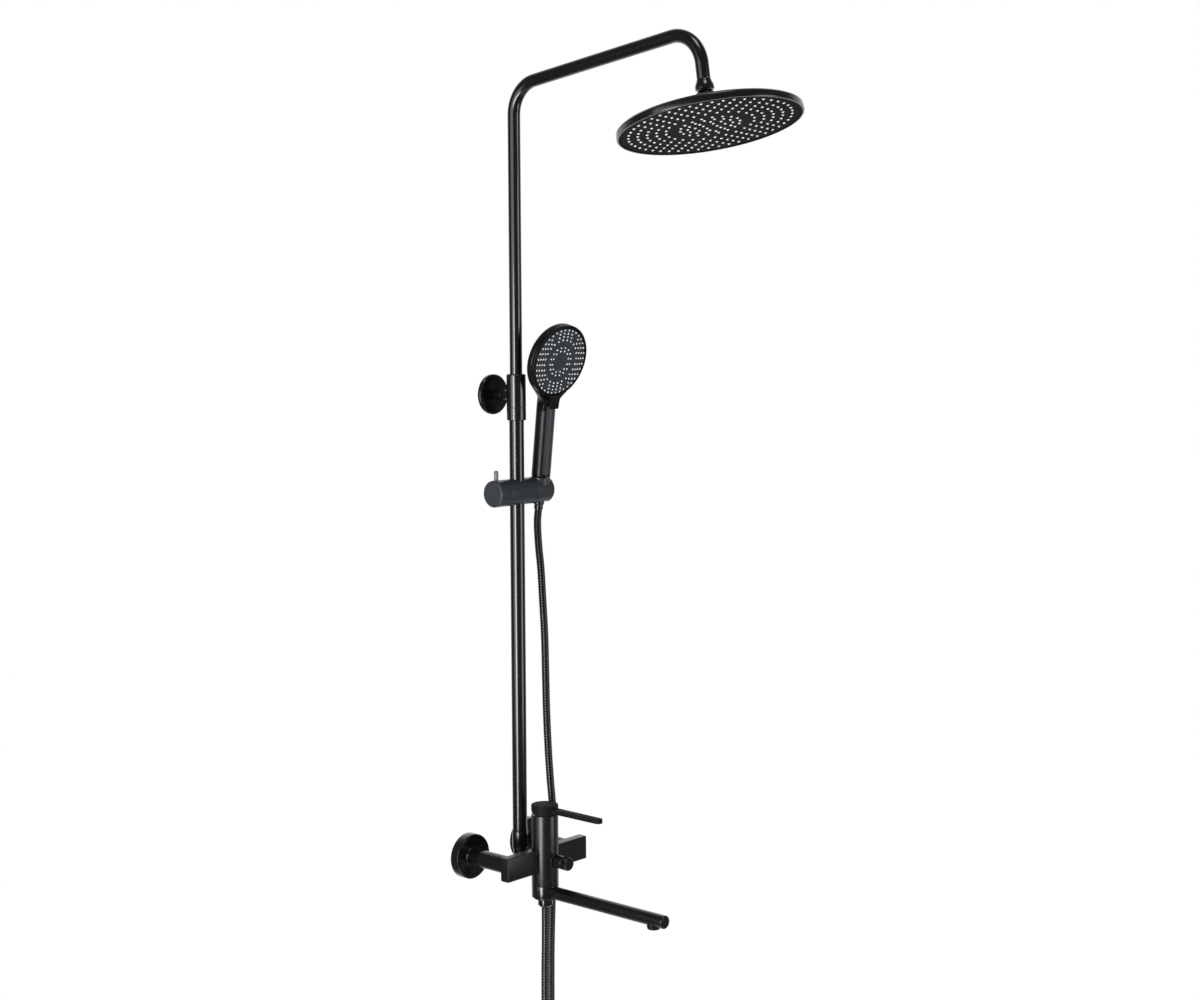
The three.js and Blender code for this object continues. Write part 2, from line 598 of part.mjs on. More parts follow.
// ---------------------------------------------------------------- diverter
function addDiverter() {
  const seat = BODY_RADIUS - 0.5;
  const knobStart = seat + BONNET_HEIGHT + RUN;
  const end = DIVERTER_REACH;
  const r = DIVERTER_DIAMETER / 2;
  const bonnet = solid(alongFront(
    ring(DIVERTER_DIAMETER + 2, 9, seat - 6, seat + BONNET_HEIGHT, 0, ROUND),
  ));
  const stub = solid(alongFront(ring(16 - 2 * GAP, 9, 12, seat + 1.5, 0, SMALL)));
  const body = solid(rod(BODY_DIAMETER + 2 * GAP, -40, 40, 0, FINE));
  const collar = cut(bonnet, body);
  add(mixer, "diverter_bonnet", joined(collar, stub), MATT_BLACK);
  const barrel = solid(turned([
    [0, knobStart + 6], [5, knobStart + 6], [5, knobStart], [r - 0.8, knobStart],
    [r - 0.3, knobStart + 0.6],
    [r - 0.3, end - FLUTED_LENGTH - 1], [r - 1, end - FLUTED_LENGTH - 0.5], [r - 1, end - FLUTED_LENGTH],
    [r, end - FLUTED_LENGTH + 0.5], [r, end - 1], [r - 1, end], [0, end],
  ], ROUND));
  const flutes = Array.from({ length: DIVERTER_FLUTES }, (_, i) => {
    const angle = (2 * Math.PI * i) / DIVERTER_FLUTES;
    const flute = rod(2.6, end - FLUTED_LENGTH + 1.5, end + 1, 0, 4);
    return solid(flute.translate((r + 0.25) * Math.cos(angle), (r + 0.25) * Math.sin(angle), 0));
  });
  const knob = geometryOf(cut(barrel, ...flutes));
  add(mixer, "diverter_knob", alongFront(knob), MATT_BLACK);
  add(mixer, "diverter_spindle", alongFront(rod(8, 13, knobStart + 6 - GAP, 0.5, SMALL)), BRASS);
}
addDiverter();

// ---------------------------------------------------------------- riser foot and lower tube
function riserElbow() {
  const reach = MIXER_FROM_WALL - RISER_FROM_WALL; // from the body's axis to the riser's
  const bore = 11;
  const corners = [
    new THREE.Vector3(0, -reach + BODY_RADIUS - 5, ELBOW_HEIGHT),
    new THREE.Vector3(0, 0, ELBOW_HEIGHT),
    new THREE.Vector3(0, 0, RISER_FOOT),
  ];
  const path = new BentPath(corners, ELBOW_BEND_RADIUS, BEND_STEPS);
  const pipe = solid(sweep(annulus(ELBOW_DIAMETER, bore, SMALL), path, path.steps));
  const body = geometryOf(solid(rod(BODY_DIAMETER + 2 * GAP, -60, 60, 0, FINE))).translate(0, -reach, 0);
  const nippleRing = ring(14 - 2 * GAP, 9, 26, reach - 12, 0, SMALL);
  const nipple = solid(alongFront(nippleRing).translate(0, 0, ELBOW_HEIGHT));
  const collar = solid(ring(20, bore, RISER_FOOT - 2, RISER_FOOT + 14, 0, SMALL));
  const trimmed = cut(pipe, solid(body));
  return joined(trimmed, nipple, collar);
}
add(riser, "riser_elbow", riserElbow(), MATT_BLACK);

const riserNut = turned([
  [ELBOW_DIAMETER / 2 - 1, RISER_FOOT + GAP], [RISER_NUT_DIAMETER / 2 - 0.6, RISER_FOOT + GAP],
  [RISER_NUT_DIAMETER / 2, RISER_FOOT + 1], [RISER_NUT_DIAMETER / 2, RISER_NUT_TOP - 1],
  [RISER_NUT_DIAMETER / 2 - 0.6, RISER_NUT_TOP], [LOWER_TUBE_DIAMETER / 2 + GAP, RISER_NUT_TOP],
  [LOWER_TUBE_DIAMETER / 2 + GAP, RISER_FOOT + 3], [ELBOW_DIAMETER / 2 - 1, RISER_FOOT + 3],
], ROUND);
add(riser, "riser_nut", riserNut, MATT_BLACK);
const lowerTube = ring(LOWER_TUBE_DIAMETER, LOWER_BORE, RISER_FOOT + 3.3, CLAMP_TOP - 12, 0, ROUND);
add(riser, "lower_riser", lowerTube, MATT_BLACK);

// ---------------------------------------------------------------- wall bracket and riser clamp
function addBracket() {
  const clampRadius = CLAMP_DIAMETER / 2;
  const step = LOWER_TUBE_DIAMETER / 2 + GAP;
  const neck = UPPER_TUBE_DIAMETER / 2 + RUN;
  const shoulder = CLAMP_TOP - 12 + GAP;
  const sleeve = solid(turned([
    [step, CLAMP_BOTTOM], [clampRadius - 1, CLAMP_BOTTOM], [clampRadius, CLAMP_BOTTOM + 1],
    [clampRadius, CLAMP_TOP - 1.5], [clampRadius - 1.5, CLAMP_TOP], [neck, CLAMP_TOP],
    [neck, shoulder], [step, shoulder],
  ], ROUND));
  const socketRod = rod(10, step + 0.6, clampRadius + 1, 0, SMALL);
  const socket = solid(alongBack(socketRod).translate(0, 0, BRACKET_HEIGHT));
  const screwRod = rod(5, step + 0.6, clampRadius + 1, 0, SMALL);
  const screwHole = solid(alongX(screwRod).translate(0, 0, CLAMP_TOP - 22));
  add(riser, "riser_clamp", cut(sleeve, socket, screwHole), MATT_BLACK);
  add(riser, "clamp_screw",
    alongX(rod(5 - 2 * GAP, step + 0.9, clampRadius - 0.4, 0, SMALL)).translate(0, 0, CLAMP_TOP - 22), STEEL);
  const wall = place(column, 0, 0, BRACKET_HEIGHT);
  const r = PLATE_DIAMETER / 2;
  const postRadius = POST_DIAMETER / 2;
  const bore = postRadius + GAP;
  add(wall, "wall_plate", alongFront(turned([
    [bore, 0], [r, 0], [r, PLATE_DEPTH - 1.5], [r - 1.5, PLATE_DEPTH], [bore, PLATE_DEPTH],
  ], FINE)), MATT_BLACK);
  const riserFace = RISER_FROM_WALL - clampRadius;
  const post = solid(alongFront(rod(POST_DIAMETER, 0, riserFace + 4, 0, ROUND)));
  const sleeveRoom = geometryOf(solid(rod(CLAMP_DIAMETER + 2 * GAP, -60, 60, 0, FINE)));
  sleeveRoom.translate(0, -RISER_FROM_WALL, 0);
  const dowel = solid(alongFront(rod(10 - 2 * GAP, riserFace - 4, RISER_FROM_WALL - step - 1, 0, SMALL)));
  add(wall, "bracket_post", joined(cut(post, solid(sleeveRoom)), dowel), MATT_BLACK);
}
addBracket();

// ---------------------------------------------------------------- telescopic tube and arm
const guide = turned([
  [UPPER_TUBE_DIAMETER / 2 - 3, UPPER_TUBE_FOOT - 4], [LOWER_BORE / 2 - 0.2, UPPER_TUBE_FOOT - 4],
  [LOWER_BORE / 2 - 0.2, UPPER_TUBE_FOOT - 0.3], [UPPER_TUBE_DIAMETER / 2 - 3, UPPER_TUBE_FOOT - 0.3],
], ROUND);
add(riser, "riser_guide", guide, NYLON);

const armAway = new THREE.Vector3(0, -Math.cos(degrees(ARM_RISE)), Math.sin(degrees(ARM_RISE)));
const armDown = new THREE.Vector3(0, -Math.sin(degrees(ARM_RISE)), -Math.cos(degrees(ARM_RISE)));
const innerCorner = new THREE.Vector3(0, 0, ARM_HEIGHT);
const outerCorner = innerCorner.clone().addScaledVector(armAway, ARM_LENGTH);
const ballCentre = outerCorner.clone().addScaledVector(armDown, ARM_DROP);
const tubeEnd = ballCentre.clone().addScaledVector(armDown, -(BALL_NUT_TOP + GAP));
function upperTube() {
  const foot = new THREE.Vector3(0, 0, UPPER_TUBE_FOOT);
  const path = new BentPath([foot, innerCorner, outerCorner, tubeEnd], ARM_BEND_RADIUS, BEND_STEPS);
  const bore = UPPER_TUBE_DIAMETER - 2 * UPPER_TUBE_WALL;
  return sweep(annulus(UPPER_TUBE_DIAMETER, bore, TUBE), path, path.steps);
}
add(riser, "upper_riser", upperTube(), MATT_BLACK);

// ---------------------------------------------------------------- ball joint
const armEnd = place(riser, 0, ballCentre.y, ballCentre.z, -degrees(ARM_RISE));
// Points on a circle about the ball's centre between two angles above the level, as [radius, height].
function arc(radius, from, to, steps) {
  return Array.from({ length: steps + 1 }, (_, i) => {
    const angle = degrees(from + ((to - from) * i) / steps);
    return [radius * Math.cos(angle), radius * Math.sin(angle)];
  });
}

function addBallJoint() {
  const r = BALL_DIAMETER / 2;
  const [neck, stem] = [BALL_NECK_DIAMETER / 2, BALL_STEM_DIAMETER / 2];
  const [low, high] = [BALL_NUT_BOTTOM, BALL_NUT_TOP];
  const bore = 3;
  const ball = arc(r, -70, Math.acos(neck / r) / degrees(1), 6);
  add(armEnd, "head_ball", turned([
    [bore, ball[0][1]], ...ball, [neck, low + 1], [stem, low + 5], [stem, high + 18], [bore, high + 18],
  ], ROUND), STEEL);
  const outer = BALL_NUT_DIAMETER / 2;
  add(armEnd, "ball_nut", turned([
    [stem + GAP, high], [outer - 3.5, high], [outer - 1, low + 6], [outer, low + 2],
    [outer - 0.6, low], [stem + 3.5, low], [stem + GAP, low + 6],
  ], ROUND), MATT_BLACK);
  const seat = [...arc(SOCKET_RADIUS - GAP, -75, -40, 2), ...arc(r + 0.35, -40, -75, 2)];
  add(armEnd, "ball_seat", turned(seat, ROUND), NYLON);
}
addBallJoint();

// ---------------------------------------------------------------- overhead head
const head = place(armEnd, 0, 0, 0);
head.rotation.set(-degrees(HEAD_CANT), 0, -degrees(HEAD_TURN), "ZXY");
const HEAD_FACE = -HEAD_BELOW_BALL;
const CAP_SEAM = -0.5; // height of the seam between the hub and its screwed cap
function addHead() {
  const face = HEAD_FACE;
  const rimTop = face + HEAD_RIM;
  const R = HEAD_RADIUS;
  const w = HEAD_WALL;
  const back = [
    [R - w - 1, face], [R - 0.8, face], [R, face + 1], [R, rimTop - 3], [R - 3, rimTop],
    [R * 0.72, rimTop + HEAD_DOME * 0.3], [R * 0.42, rimTop + HEAD_DOME * 0.66], [26, rimTop + HEAD_DOME],
    [HUB_DIAMETER / 2, rimTop + HEAD_DOME + 4], [HUB_DIAMETER / 2, CAP_SEAM],
    ...arc(SOCKET_RADIUS, -2.2, -65, 3), [5, -13.5], [5, rimTop + HEAD_DOME - 6],
    [24, rimTop + HEAD_DOME - w - 2], [R * 0.42, rimTop + HEAD_DOME * 0.66 - w],
    [R * 0.72, rimTop + HEAD_DOME * 0.3 - w], [R - 4, rimTop - w], [R - w - 1, face + HEAD_LEDGE],
  ];
  add(head, "head_back", turned(back, FINE), MATT_BLACK);
  const lip = arc(BALL_DIAMETER / 2 + 0.4, 6, 38, 3);
  const hub = HUB_DIAMETER / 2;
  add(head, "ball_cap", turned([
    [SOCKET_RADIUS, CAP_SEAM + GAP], [hub, CAP_SEAM + GAP], [hub, 4.6], [hub - 1.3, 6], [12.5, 8.2],
    ...lip.reverse(), [SOCKET_RADIUS, lip.at(-1)[1]],
  ], ROUND), MATT_BLACK);
}
addHead();

// Nozzle places on the overhead face: rings about its middle, with a wide bare ring between the
// third and the inner one.
function headNozzles() {
  return HEAD_NOZZLE_RINGS.flatMap(([radius, count]) =>
    Array.from({ length: count }, (_, i) => {
      const angle = (2 * Math.PI * i) / count;
      return [radius * Math.cos(angle), radius * Math.sin(angle)];
    }),
  );
}

// A round plate with a small hole at each place.
function perforated(radius, low, high, places, holeDiameter, sides) {
  const holes = places.map(([x, y]) =>
    solid(rod(holeDiameter, low - 1, high + 1, 0, NOZZLE_SIDES).translate(x, y, 0)),
  );
  return cut(solid(rod(2 * radius, low, high, 0, sides)), ...holes);
}

// A round mat whose nozzles point down to the given height.
function nozzleMat(radius, low, high, tip, places, diameter, sides) {
  const root = diameter / 2;
  const profile = [[0, tip], [root * 0.8, tip], [root, low + 0.5], [0, low + 0.5]];
  const nozzles = places.map(([x, y]) => solid(turned(profile, NOZZLE_SIDES).translate(x, y, 0)));
  return joined(solid(rod(2 * radius, low, high, 0, sides)), ...nozzles);
}

function addHeadFace() {
  const places = headNozzles();
  const ledge = HEAD_FACE + HEAD_LEDGE;
  const high = ledge - GAP;
  const low = high - FACE_THICKNESS;
  const radius = HEAD_RADIUS - HEAD_WALL - 1 - GAP;
  const hole = NOZZLE_DIAMETER + 2 * GAP;
  add(head, "head_face", perforated(radius, low, high, places, hole, FINE), GUNMETAL);
  const tip = low - NOZZLE_PROUD;
  const mat = nozzleMat(radius - 6.7, ledge, ledge + 1.5, tip, places, NOZZLE_DIAMETER, FINE);
  add(head, "head_nozzle_mat", mat, SILICONE);
}
addHeadFace();

// ---------------------------------------------------------------- slider
const slider = place(riser, 0, 0, SLIDER_HEIGHT);
const BUSH_INNER = LOWER_TUBE_DIAMETER / 2 + GAP;
const BUSH_OUTER = BUSH_INNER + BUSH_WALL;
const SCREW_DIAMETER = 8;
const AXLE_DIAMETER = 14;
const AXLE_LENGTH = 10;

function addSlider() {
  const R = SLIDER_RADIUS;
  const half = 15;
  const bush = solid(ring(2 * BUSH_OUTER, 2 * BUSH_INNER, -half, half, 0, ROUND));
  const split = solid(block(-1.5, 1.5, 0, R, -R, R));
  add(slider, "slider_bush", cut(bush, split), NYLON);

  const left = LOCK_SEAM + RUN / 2;
  const right = HOLDER_SEAM - RUN / 2;
  const barrel = solid(alongX(rod(2 * R, left, right, 0.5, FINE)));
  const axle = solid(alongX(rod(AXLE_DIAMETER, right - 1, right + AXLE_LENGTH, 0, SMALL)));
  const passage = solid(rod(LOWER_TUBE_DIAMETER + 2 * RUN, -R - 1, R + 1, 0, FINE));
  const bushRoom = solid(rod(2 * (BUSH_OUTER + GAP), -half - GAP, half + GAP, 0, FINE));
  const screwRoom = alongX(rod(SCREW_DIAMETER + 2 * GAP, left - 1, 0, 0, SMALL));
  const body = cut(joined(barrel, axle), passage, bushRoom, solid(screwRoom));
  add(slider, "slider_body", body, MATT_BLACK);

  const outerEnd = -SLIDER_LEFT;
  const seam = LOCK_SEAM - RUN / 2;
  const pinX = outerEnd + 9.5;
  const knob = solid(alongX(turned([
    [0, outerEnd], [R - 3, outerEnd], [R - 1, outerEnd + 0.8], [R, outerEnd + 2.6],
    [R, seam - 0.5], [R - 0.5, seam], [0, seam],
  ], FINE)));
  const screwSocket = solid(alongX(rod(SCREW_DIAMETER + 2 * GAP, pinX, seam + 1, 0, SMALL)));
  const pinFoot = R - 4.7;
  const pinSocket = rod(LOCK_PIN_DIAMETER + 2 * GAP, pinFoot - GAP, R + 1, 0, SMALL)
    .translate(pinX, 0, 0);
  add(slider, "slider_lock_knob", cut(knob, screwSocket, solid(pinSocket)), MATT_BLACK);
  const screw = rod(SCREW_DIAMETER, pinX + GAP, -BUSH_OUTER - GAP, 0, SMALL);
  add(slider, "slider_lock_screw", alongX(screw), STEEL);
  const p = LOCK_PIN_DIAMETER / 2;
  const pinTop = R + LOCK_PIN_HEIGHT;
  const pin = turned([
    [0, pinFoot], [p, pinFoot], [p, pinTop - 2.5], [p - 0.7, pinTop - 0.9], [p - 2.2, pinTop],
    [0, pinTop],
  ], SMALL);
  add(slider, "slider_lock_pin", pin.translate(pinX, 0, 0), MATT_BLACK);
}
addSlider();

// ---------------------------------------------------------------- holder of the hand shower
const handset = place(slider, HANDSET_OFFSET, -HANDSET_AHEAD, 0, degrees(HANDSET_LEAN));
const LINER_GAP = 0.4;
const LINER_WALL = 1.6;
const LINER_HALF = 22;

// The cone that seats the hand shower, widened all round, between two heights of the handset's frame.
function coneRadius(z) {
  const [foot, top] = [CONE_BOTTOM_DIAMETER / 2, CONE_TOP_DIAMETER / 2];
  return foot + ((top - foot) * (z - CONE_BOTTOM)) / (CONE_TOP - CONE_BOTTOM);
}
function widenedCone(extra, low, high, sides) {
  const [foot, top] = [coneRadius(low) + extra, coneRadius(high) + extra];
  return turned([[0, low], [foot, low], [top, high], [0, high]], sides);
}
const fromHandset = (geometry) =>
  geometry.rotateX(degrees(HANDSET_LEAN)).translate(HANDSET_OFFSET, -HANDSET_AHEAD, 0);
const toHandset = (geometry) =>
  geometry.translate(-HANDSET_OFFSET, HANDSET_AHEAD, 0).rotateX(-degrees(HANDSET_LEAN));

function addHolder() {
  const R = SLIDER_RADIUS;
  const start = HOLDER_SEAM + RUN / 2;
  const end = SLIDER_RIGHT;
  const slotHalf = HOSE_DIAMETER / 2 + 1;
  const barrel = solid(alongX(turned([
    [0, start], [R - 0.5, start], [R, start + 0.5], [R, end - 5], [R - 0.7, end - 2.4],
    [R - 2.2, end - 0.8], [R - 4.6, end], [0, end],
  ], FINE)));
  const cone = solid(fromHandset(widenedCone(LINER_GAP + LINER_WALL + GAP, -40, 40, ROUND)));
  const slot = solid(fromHandset(block(0, R, -slotHalf, slotHalf, -40, 40)));
  const axleEnd = start + AXLE_LENGTH + 0.5;
  const axleRoom = solid(alongX(rod(AXLE_DIAMETER + 2 * RUN, start - 1, axleEnd, 0, SMALL)));
  add(slider, "handset_holder", cut(barrel, cone, slot, axleRoom), MATT_BLACK);

  const outside = solid(widenedCone(LINER_GAP + LINER_WALL, -LINER_HALF, LINER_HALF, ROUND));
  const inside = solid(widenedCone(LINER_GAP, -40, 40, ROUND));
  const gate = solid(block(0, R, -slotHalf, slotHalf, -40, 40));
  const bounds = solid(toHandset(alongX(rod(SLIDER_DIAMETER - 2 * RUN, -100, 100, 0, ROUND))));
  add(handset, "holder_liner", cut(outside, inside, gate).intersect(bounds), NYLON);
}
addHolder();

// ---------------------------------------------------------------- hand shower
// Pieces of its face are drawn facing down: +Y runs down the face and +Z into the shell.
const onFace = (geometry) => alongBack(geometry)
  .rotateX(degrees(HAND_FACE_TILT))
  .translate(0, -HAND_HEAD_AHEAD, HAND_HEAD_HEIGHT);

function handleBlank() {
  const foot = HANDLE_FOOT_DIAMETER / 2;
  const neck = HANDLE_NECK_DIAMETER / 2;
  const seat = CONE_TOP + 0.5;
  const stem = HOSE_THREAD_DIAMETER / 2;
  return turned([
    [0, seat - STEM_LENGTH], [stem, seat - STEM_LENGTH], [stem, seat], [foot - 1.2, seat],
    [foot, seat + 1.8], [foot, 50], [neck, 150], [neck - 1, HANDLE_TOP - 11],
    [neck - 3.5, HANDLE_TOP], [0, HANDLE_TOP + 2],
  ], ROUND);
}

function addHandset() {
  const R = HAND_RADIUS;
  const ringBack = SELECTOR_THICKNESS;
  const front = ringBack + GAP;
  const depth = HAND_HEAD_DEPTH;
  const shell = solid(onFace(turned([
    [0, front], [R, front], [R, front + 2], [R - 1, front + 4.5], [R - 5, front + 9],
    [R - 16, depth - 5.5], [R - 36, depth - 1], [0, depth],
  ], FINE)));
  const faceRoom = solid(onFace(rod(2 * R + 3, -60, front, 0, FINE)));
  const tabSide = TAB_WIDTH / 2 + 1.5;
  const tabRoom = solid(onFace(block(-tabSide, tabSide, R - 4, R + TAB_LENGTH + 1, -60, -2.4)));
  const [trimLow, trimHigh, trimBack] = [40, 141, -9];
  const side = TRIM_WIDTH / 2;
  const trimRoom = block(-side - GAP, side + GAP, -30, trimBack + GAP, trimLow - GAP, trimHigh + GAP);
  const waterway = rod(7, 10, HANDLE_TOP, 0, SMALL);
  const handle = cut(solid(handleBlank()), faceRoom, tabRoom, solid(trimRoom));
  add(handset, "handset_shell", cut(joined(shell, handle), solid(waterway)), BLACK_PLASTIC);
  const strip = solid(block(-side, side, -30, trimBack, trimLow, trimHigh));
  const trim = solid(handleBlank()).intersect(strip);
  add(handset, "handset_trim", trim, GUNMETAL);

  const inner = R - SELECTOR_RING_WIDTH;
  const ringSolid = solid(ring(2 * R, 2 * inner, 0, ringBack, 0.6, FINE));
  const outline = [
    [inner + 0.5, ringBack - 0.5], [inner + 0.5, -4], [inner + 3, -7.5], [R + TAB_LENGTH - 2, -11.5],
    [R + TAB_LENGTH - 0.5, -9], [R + TAB_LENGTH - 1.5, -7.2], [R + 0.5, -2.9], [R, ringBack - 0.5],
  ];
  const shape = new THREE.Shape(outline.map(([down, out]) => new THREE.Vector2(down, out)));
  const tab = new THREE.ExtrudeGeometry(shape, { depth: TAB_WIDTH, bevelEnabled: false });
  const basis = new THREE.Matrix4().makeBasis(
    new THREE.Vector3(0, 1, 0),
    new THREE.Vector3(0, 0, 1),
    new THREE.Vector3(1, 0, 0),
  );
  tab.translate(0, 0, -TAB_WIDTH / 2).applyMatrix4(basis);
  const selector = geometryOf(joined(ringSolid, solid(tab)));
  add(handset, "selector_ring", onFace(selector), BLACK_PLASTIC);

  const places = handNozzles();
  const faceRadius = inner - 2 * RUN;
  const hole = HAND_NOZZLE_DIAMETER + 2 * GAP;
  const plate = geometryOf(perforated(faceRadius, 0, FACE_THICKNESS, places, hole, FINE));
  add(handset, "handset_face", onFace(plate), GUNMETAL);
  const mat = nozzleMat(
    faceRadius - 3, FACE_THICKNESS + GAP, ringBack, -1, places, HAND_NOZZLE_DIAMETER, FINE,
  );
  add(handset, "handset_nozzle_mat", onFace(geometryOf(mat)), SILICONE);

  const socket = HOSE_THREAD_DIAMETER / 2 + GAP;
  const socketFloor = CONE_TOP + 0.5 - STEM_LENGTH - GAP;
  add(handset, "hose_nut_upper", turned([
    [0, CONE_BOTTOM], [coneRadius(CONE_BOTTOM), CONE_BOTTOM], [coneRadius(CONE_TOP), CONE_TOP],
    [socket, CONE_TOP], [socket, socketFloor], [0, socketFloor],
  ], ROUND), MATT_BLACK);
}

// Nozzle places on the hand shower's face: clusters near the rim and a ring round a bare middle.
function handNozzles() {
  const places = [];
  const put = (r, angle) => places.push([r * Math.cos(angle), r * Math.sin(angle)]);
  const [near, far] = HAND_CLUSTER_RADII;
  const step = (2 * Math.PI) / HAND_CLUSTERS;
  for (let cluster = 0; cluster < HAND_CLUSTERS; cluster++) {
    const middle = step * (cluster + 0.5);
    put(far, middle + 0.2);
    put(near, middle - 0.2);
    put(HAND_INNER_RING, step * cluster);
  }
  return places;
}
addHandset();

// ---------------------------------------------------------------- hose
// From the nut under the mixer down to the hanging loop, up beside the riser and into the cone nut.
const hoseRoute = [
  [0, -121, -88.8], [0, -121, -115], [-2, -122.5, -150], [-7, -126, -200], [-15, -133, -255],
  [-24, -141, -310], [-31, -147, -360], [-33, -149, -385], [-27, -144, -417], [-8, -128, -443],
  [17, -109, -453], [42, -88, -443], [61, -73, -417], [68, -68, -385], [68, -69, -345],
  [64, -73, -290], [58, -79, -225], [52, -86, -160], [48, -92, -100], [45.5, -96.5, -40],
  [45, -98.5, 20], [45, -98, 80], [46, -92, 130], [48, -86, 180], [50.5, -80, 250],
  [52.5, -77, 320], [53.5, -75, 390], [54, -71, 450], [54, -65.5, 510], [54, -60.5, 545],
  [54, -57.6, 590], [54, -60.1, 613.9],
].map(([x, y, z]) => new THREE.Vector3(x, y, z));
function hoseTube() {
  const path = new THREE.CatmullRomCurve3(hoseRoute, false, "centripetal");
  return sweep(annulus(HOSE_DIAMETER, 0, HOSE_SIDES), path, HOSE_STEPS);
}
add(column, "hose", hoseTube(), MATT_BLACK);

export default column;
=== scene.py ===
"""The looks of the shower column: smooth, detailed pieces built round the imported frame.

The frame is in metres, +Z up. The wall is the plane y = 0 and the room is on its -Y side.
Profiles are drawn in millimetres and scaled by MM when they become meshes. Each profile is a table
of (radius, height, fillet) points: it is the drawing of its piece.
"""

import json
from math import acos, asin, atan2, cos, pi, radians, sin, tan

import bmesh
import bpy
from mathutils import Euler, Matrix, Vector

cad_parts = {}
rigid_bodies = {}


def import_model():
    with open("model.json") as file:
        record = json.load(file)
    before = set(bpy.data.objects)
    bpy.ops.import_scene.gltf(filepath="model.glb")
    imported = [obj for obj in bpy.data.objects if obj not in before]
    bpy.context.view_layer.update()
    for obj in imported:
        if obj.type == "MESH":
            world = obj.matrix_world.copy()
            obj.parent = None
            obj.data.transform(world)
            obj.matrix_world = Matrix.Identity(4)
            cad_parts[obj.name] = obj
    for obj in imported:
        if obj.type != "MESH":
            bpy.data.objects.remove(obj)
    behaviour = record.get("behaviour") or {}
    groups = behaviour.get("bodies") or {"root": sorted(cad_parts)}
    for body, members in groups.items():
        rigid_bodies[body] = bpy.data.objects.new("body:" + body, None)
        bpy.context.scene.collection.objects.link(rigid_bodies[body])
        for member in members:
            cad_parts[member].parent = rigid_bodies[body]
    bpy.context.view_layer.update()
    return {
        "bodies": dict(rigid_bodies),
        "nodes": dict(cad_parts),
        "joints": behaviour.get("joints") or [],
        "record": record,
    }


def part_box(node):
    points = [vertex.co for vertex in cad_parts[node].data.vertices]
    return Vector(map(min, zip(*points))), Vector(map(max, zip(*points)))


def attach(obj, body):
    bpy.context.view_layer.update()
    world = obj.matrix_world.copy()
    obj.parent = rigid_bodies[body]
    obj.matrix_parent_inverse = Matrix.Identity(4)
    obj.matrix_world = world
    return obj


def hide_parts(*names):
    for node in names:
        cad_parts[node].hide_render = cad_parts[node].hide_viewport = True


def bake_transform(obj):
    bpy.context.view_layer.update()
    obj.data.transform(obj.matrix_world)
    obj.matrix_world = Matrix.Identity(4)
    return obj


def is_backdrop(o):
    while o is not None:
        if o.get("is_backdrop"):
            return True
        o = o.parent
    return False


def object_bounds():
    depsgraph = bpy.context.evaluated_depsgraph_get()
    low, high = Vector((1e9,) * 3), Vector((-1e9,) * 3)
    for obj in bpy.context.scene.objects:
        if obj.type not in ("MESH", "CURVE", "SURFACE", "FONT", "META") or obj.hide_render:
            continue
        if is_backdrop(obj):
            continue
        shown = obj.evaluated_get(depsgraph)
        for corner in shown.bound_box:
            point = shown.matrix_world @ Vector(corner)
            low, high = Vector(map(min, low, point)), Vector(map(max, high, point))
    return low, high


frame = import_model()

MM = 0.001
METAL = "matt_black_metal"
PLASTICS = "black_plastic"
TRIM = "gunmetal_plastic"
JOINT = {joint["name"]: joint for joint in frame["joints"]}


def middle(box):
    low, high = box
    return (low + high) / 2


def added(name, data):
    """A new object of that data, in the scene."""
    thing = bpy.data.objects.new(name, data)
    bpy.context.scene.collection.objects.link(thing)
    return thing


# ---------------- camera
CAMERA_PLACE = (-2.4461, -2.4236, 0.9735)
CAMERA_TURN = (radians(84.29), 0.0, radians(-48.44))
CAMERA_ROLL = radians(-0.25)
CAMERA_LENS = 58.18
SENSOR_WIDTH = 36.0
FAR_CLIP = 60.0


def make_camera():
    data = bpy.data.cameras.new("camera")
    data.lens = CAMERA_LENS
    data.sensor_width = SENSOR_WIDTH
    data.clip_end = FAR_CLIP
    camera = added("camera", data)
    camera.location = CAMERA_PLACE
    turn = Euler(CAMERA_TURN).to_matrix() @ Matrix.Rotation(CAMERA_ROLL, 3, "Z")
    camera.rotation_euler = turn.to_euler()
    bpy.context.scene.camera = camera


make_camera()


# ---------------- finishes
CLOUD_EDGES = (0.35, 0.65)  # noise levels between which one tone turns into the other
GLOSS_EDGES = (0.3, 0.7)  # noise levels between which the gloss changes
SPECK_EDGES = (0.66, 0.72)  # noise levels between which a speck begins
SPECK_STRENGTH = 0.6
RELIEF_DEPTH = 0.0003


def ranged(value, edges, levels, smooth=False):
    """A shader value taken from the range between two edges to the range between two levels."""
    node = value.id_data.nodes.new("ShaderNodeMapRange")
    if smooth:
        node.interpolation_type = "SMOOTHSTEP"
    for key, number in zip(("From Min", "From Max", "To Min", "To Max"), (*edges, *levels)):
        node.inputs[key].default_value = number
    value.id_data.links.new(value, node.inputs["Value"])
    return node.outputs["Result"]


def calculated(operation, *values):
    """The result of a Math node on two shader values."""
    tree = values[0].id_data
    node = tree.nodes.new("ShaderNodeMath")
    node.operation = operation
    for value, socket in zip(values, node.inputs):
        tree.links.new(value, socket)
    return node.outputs["Value"]


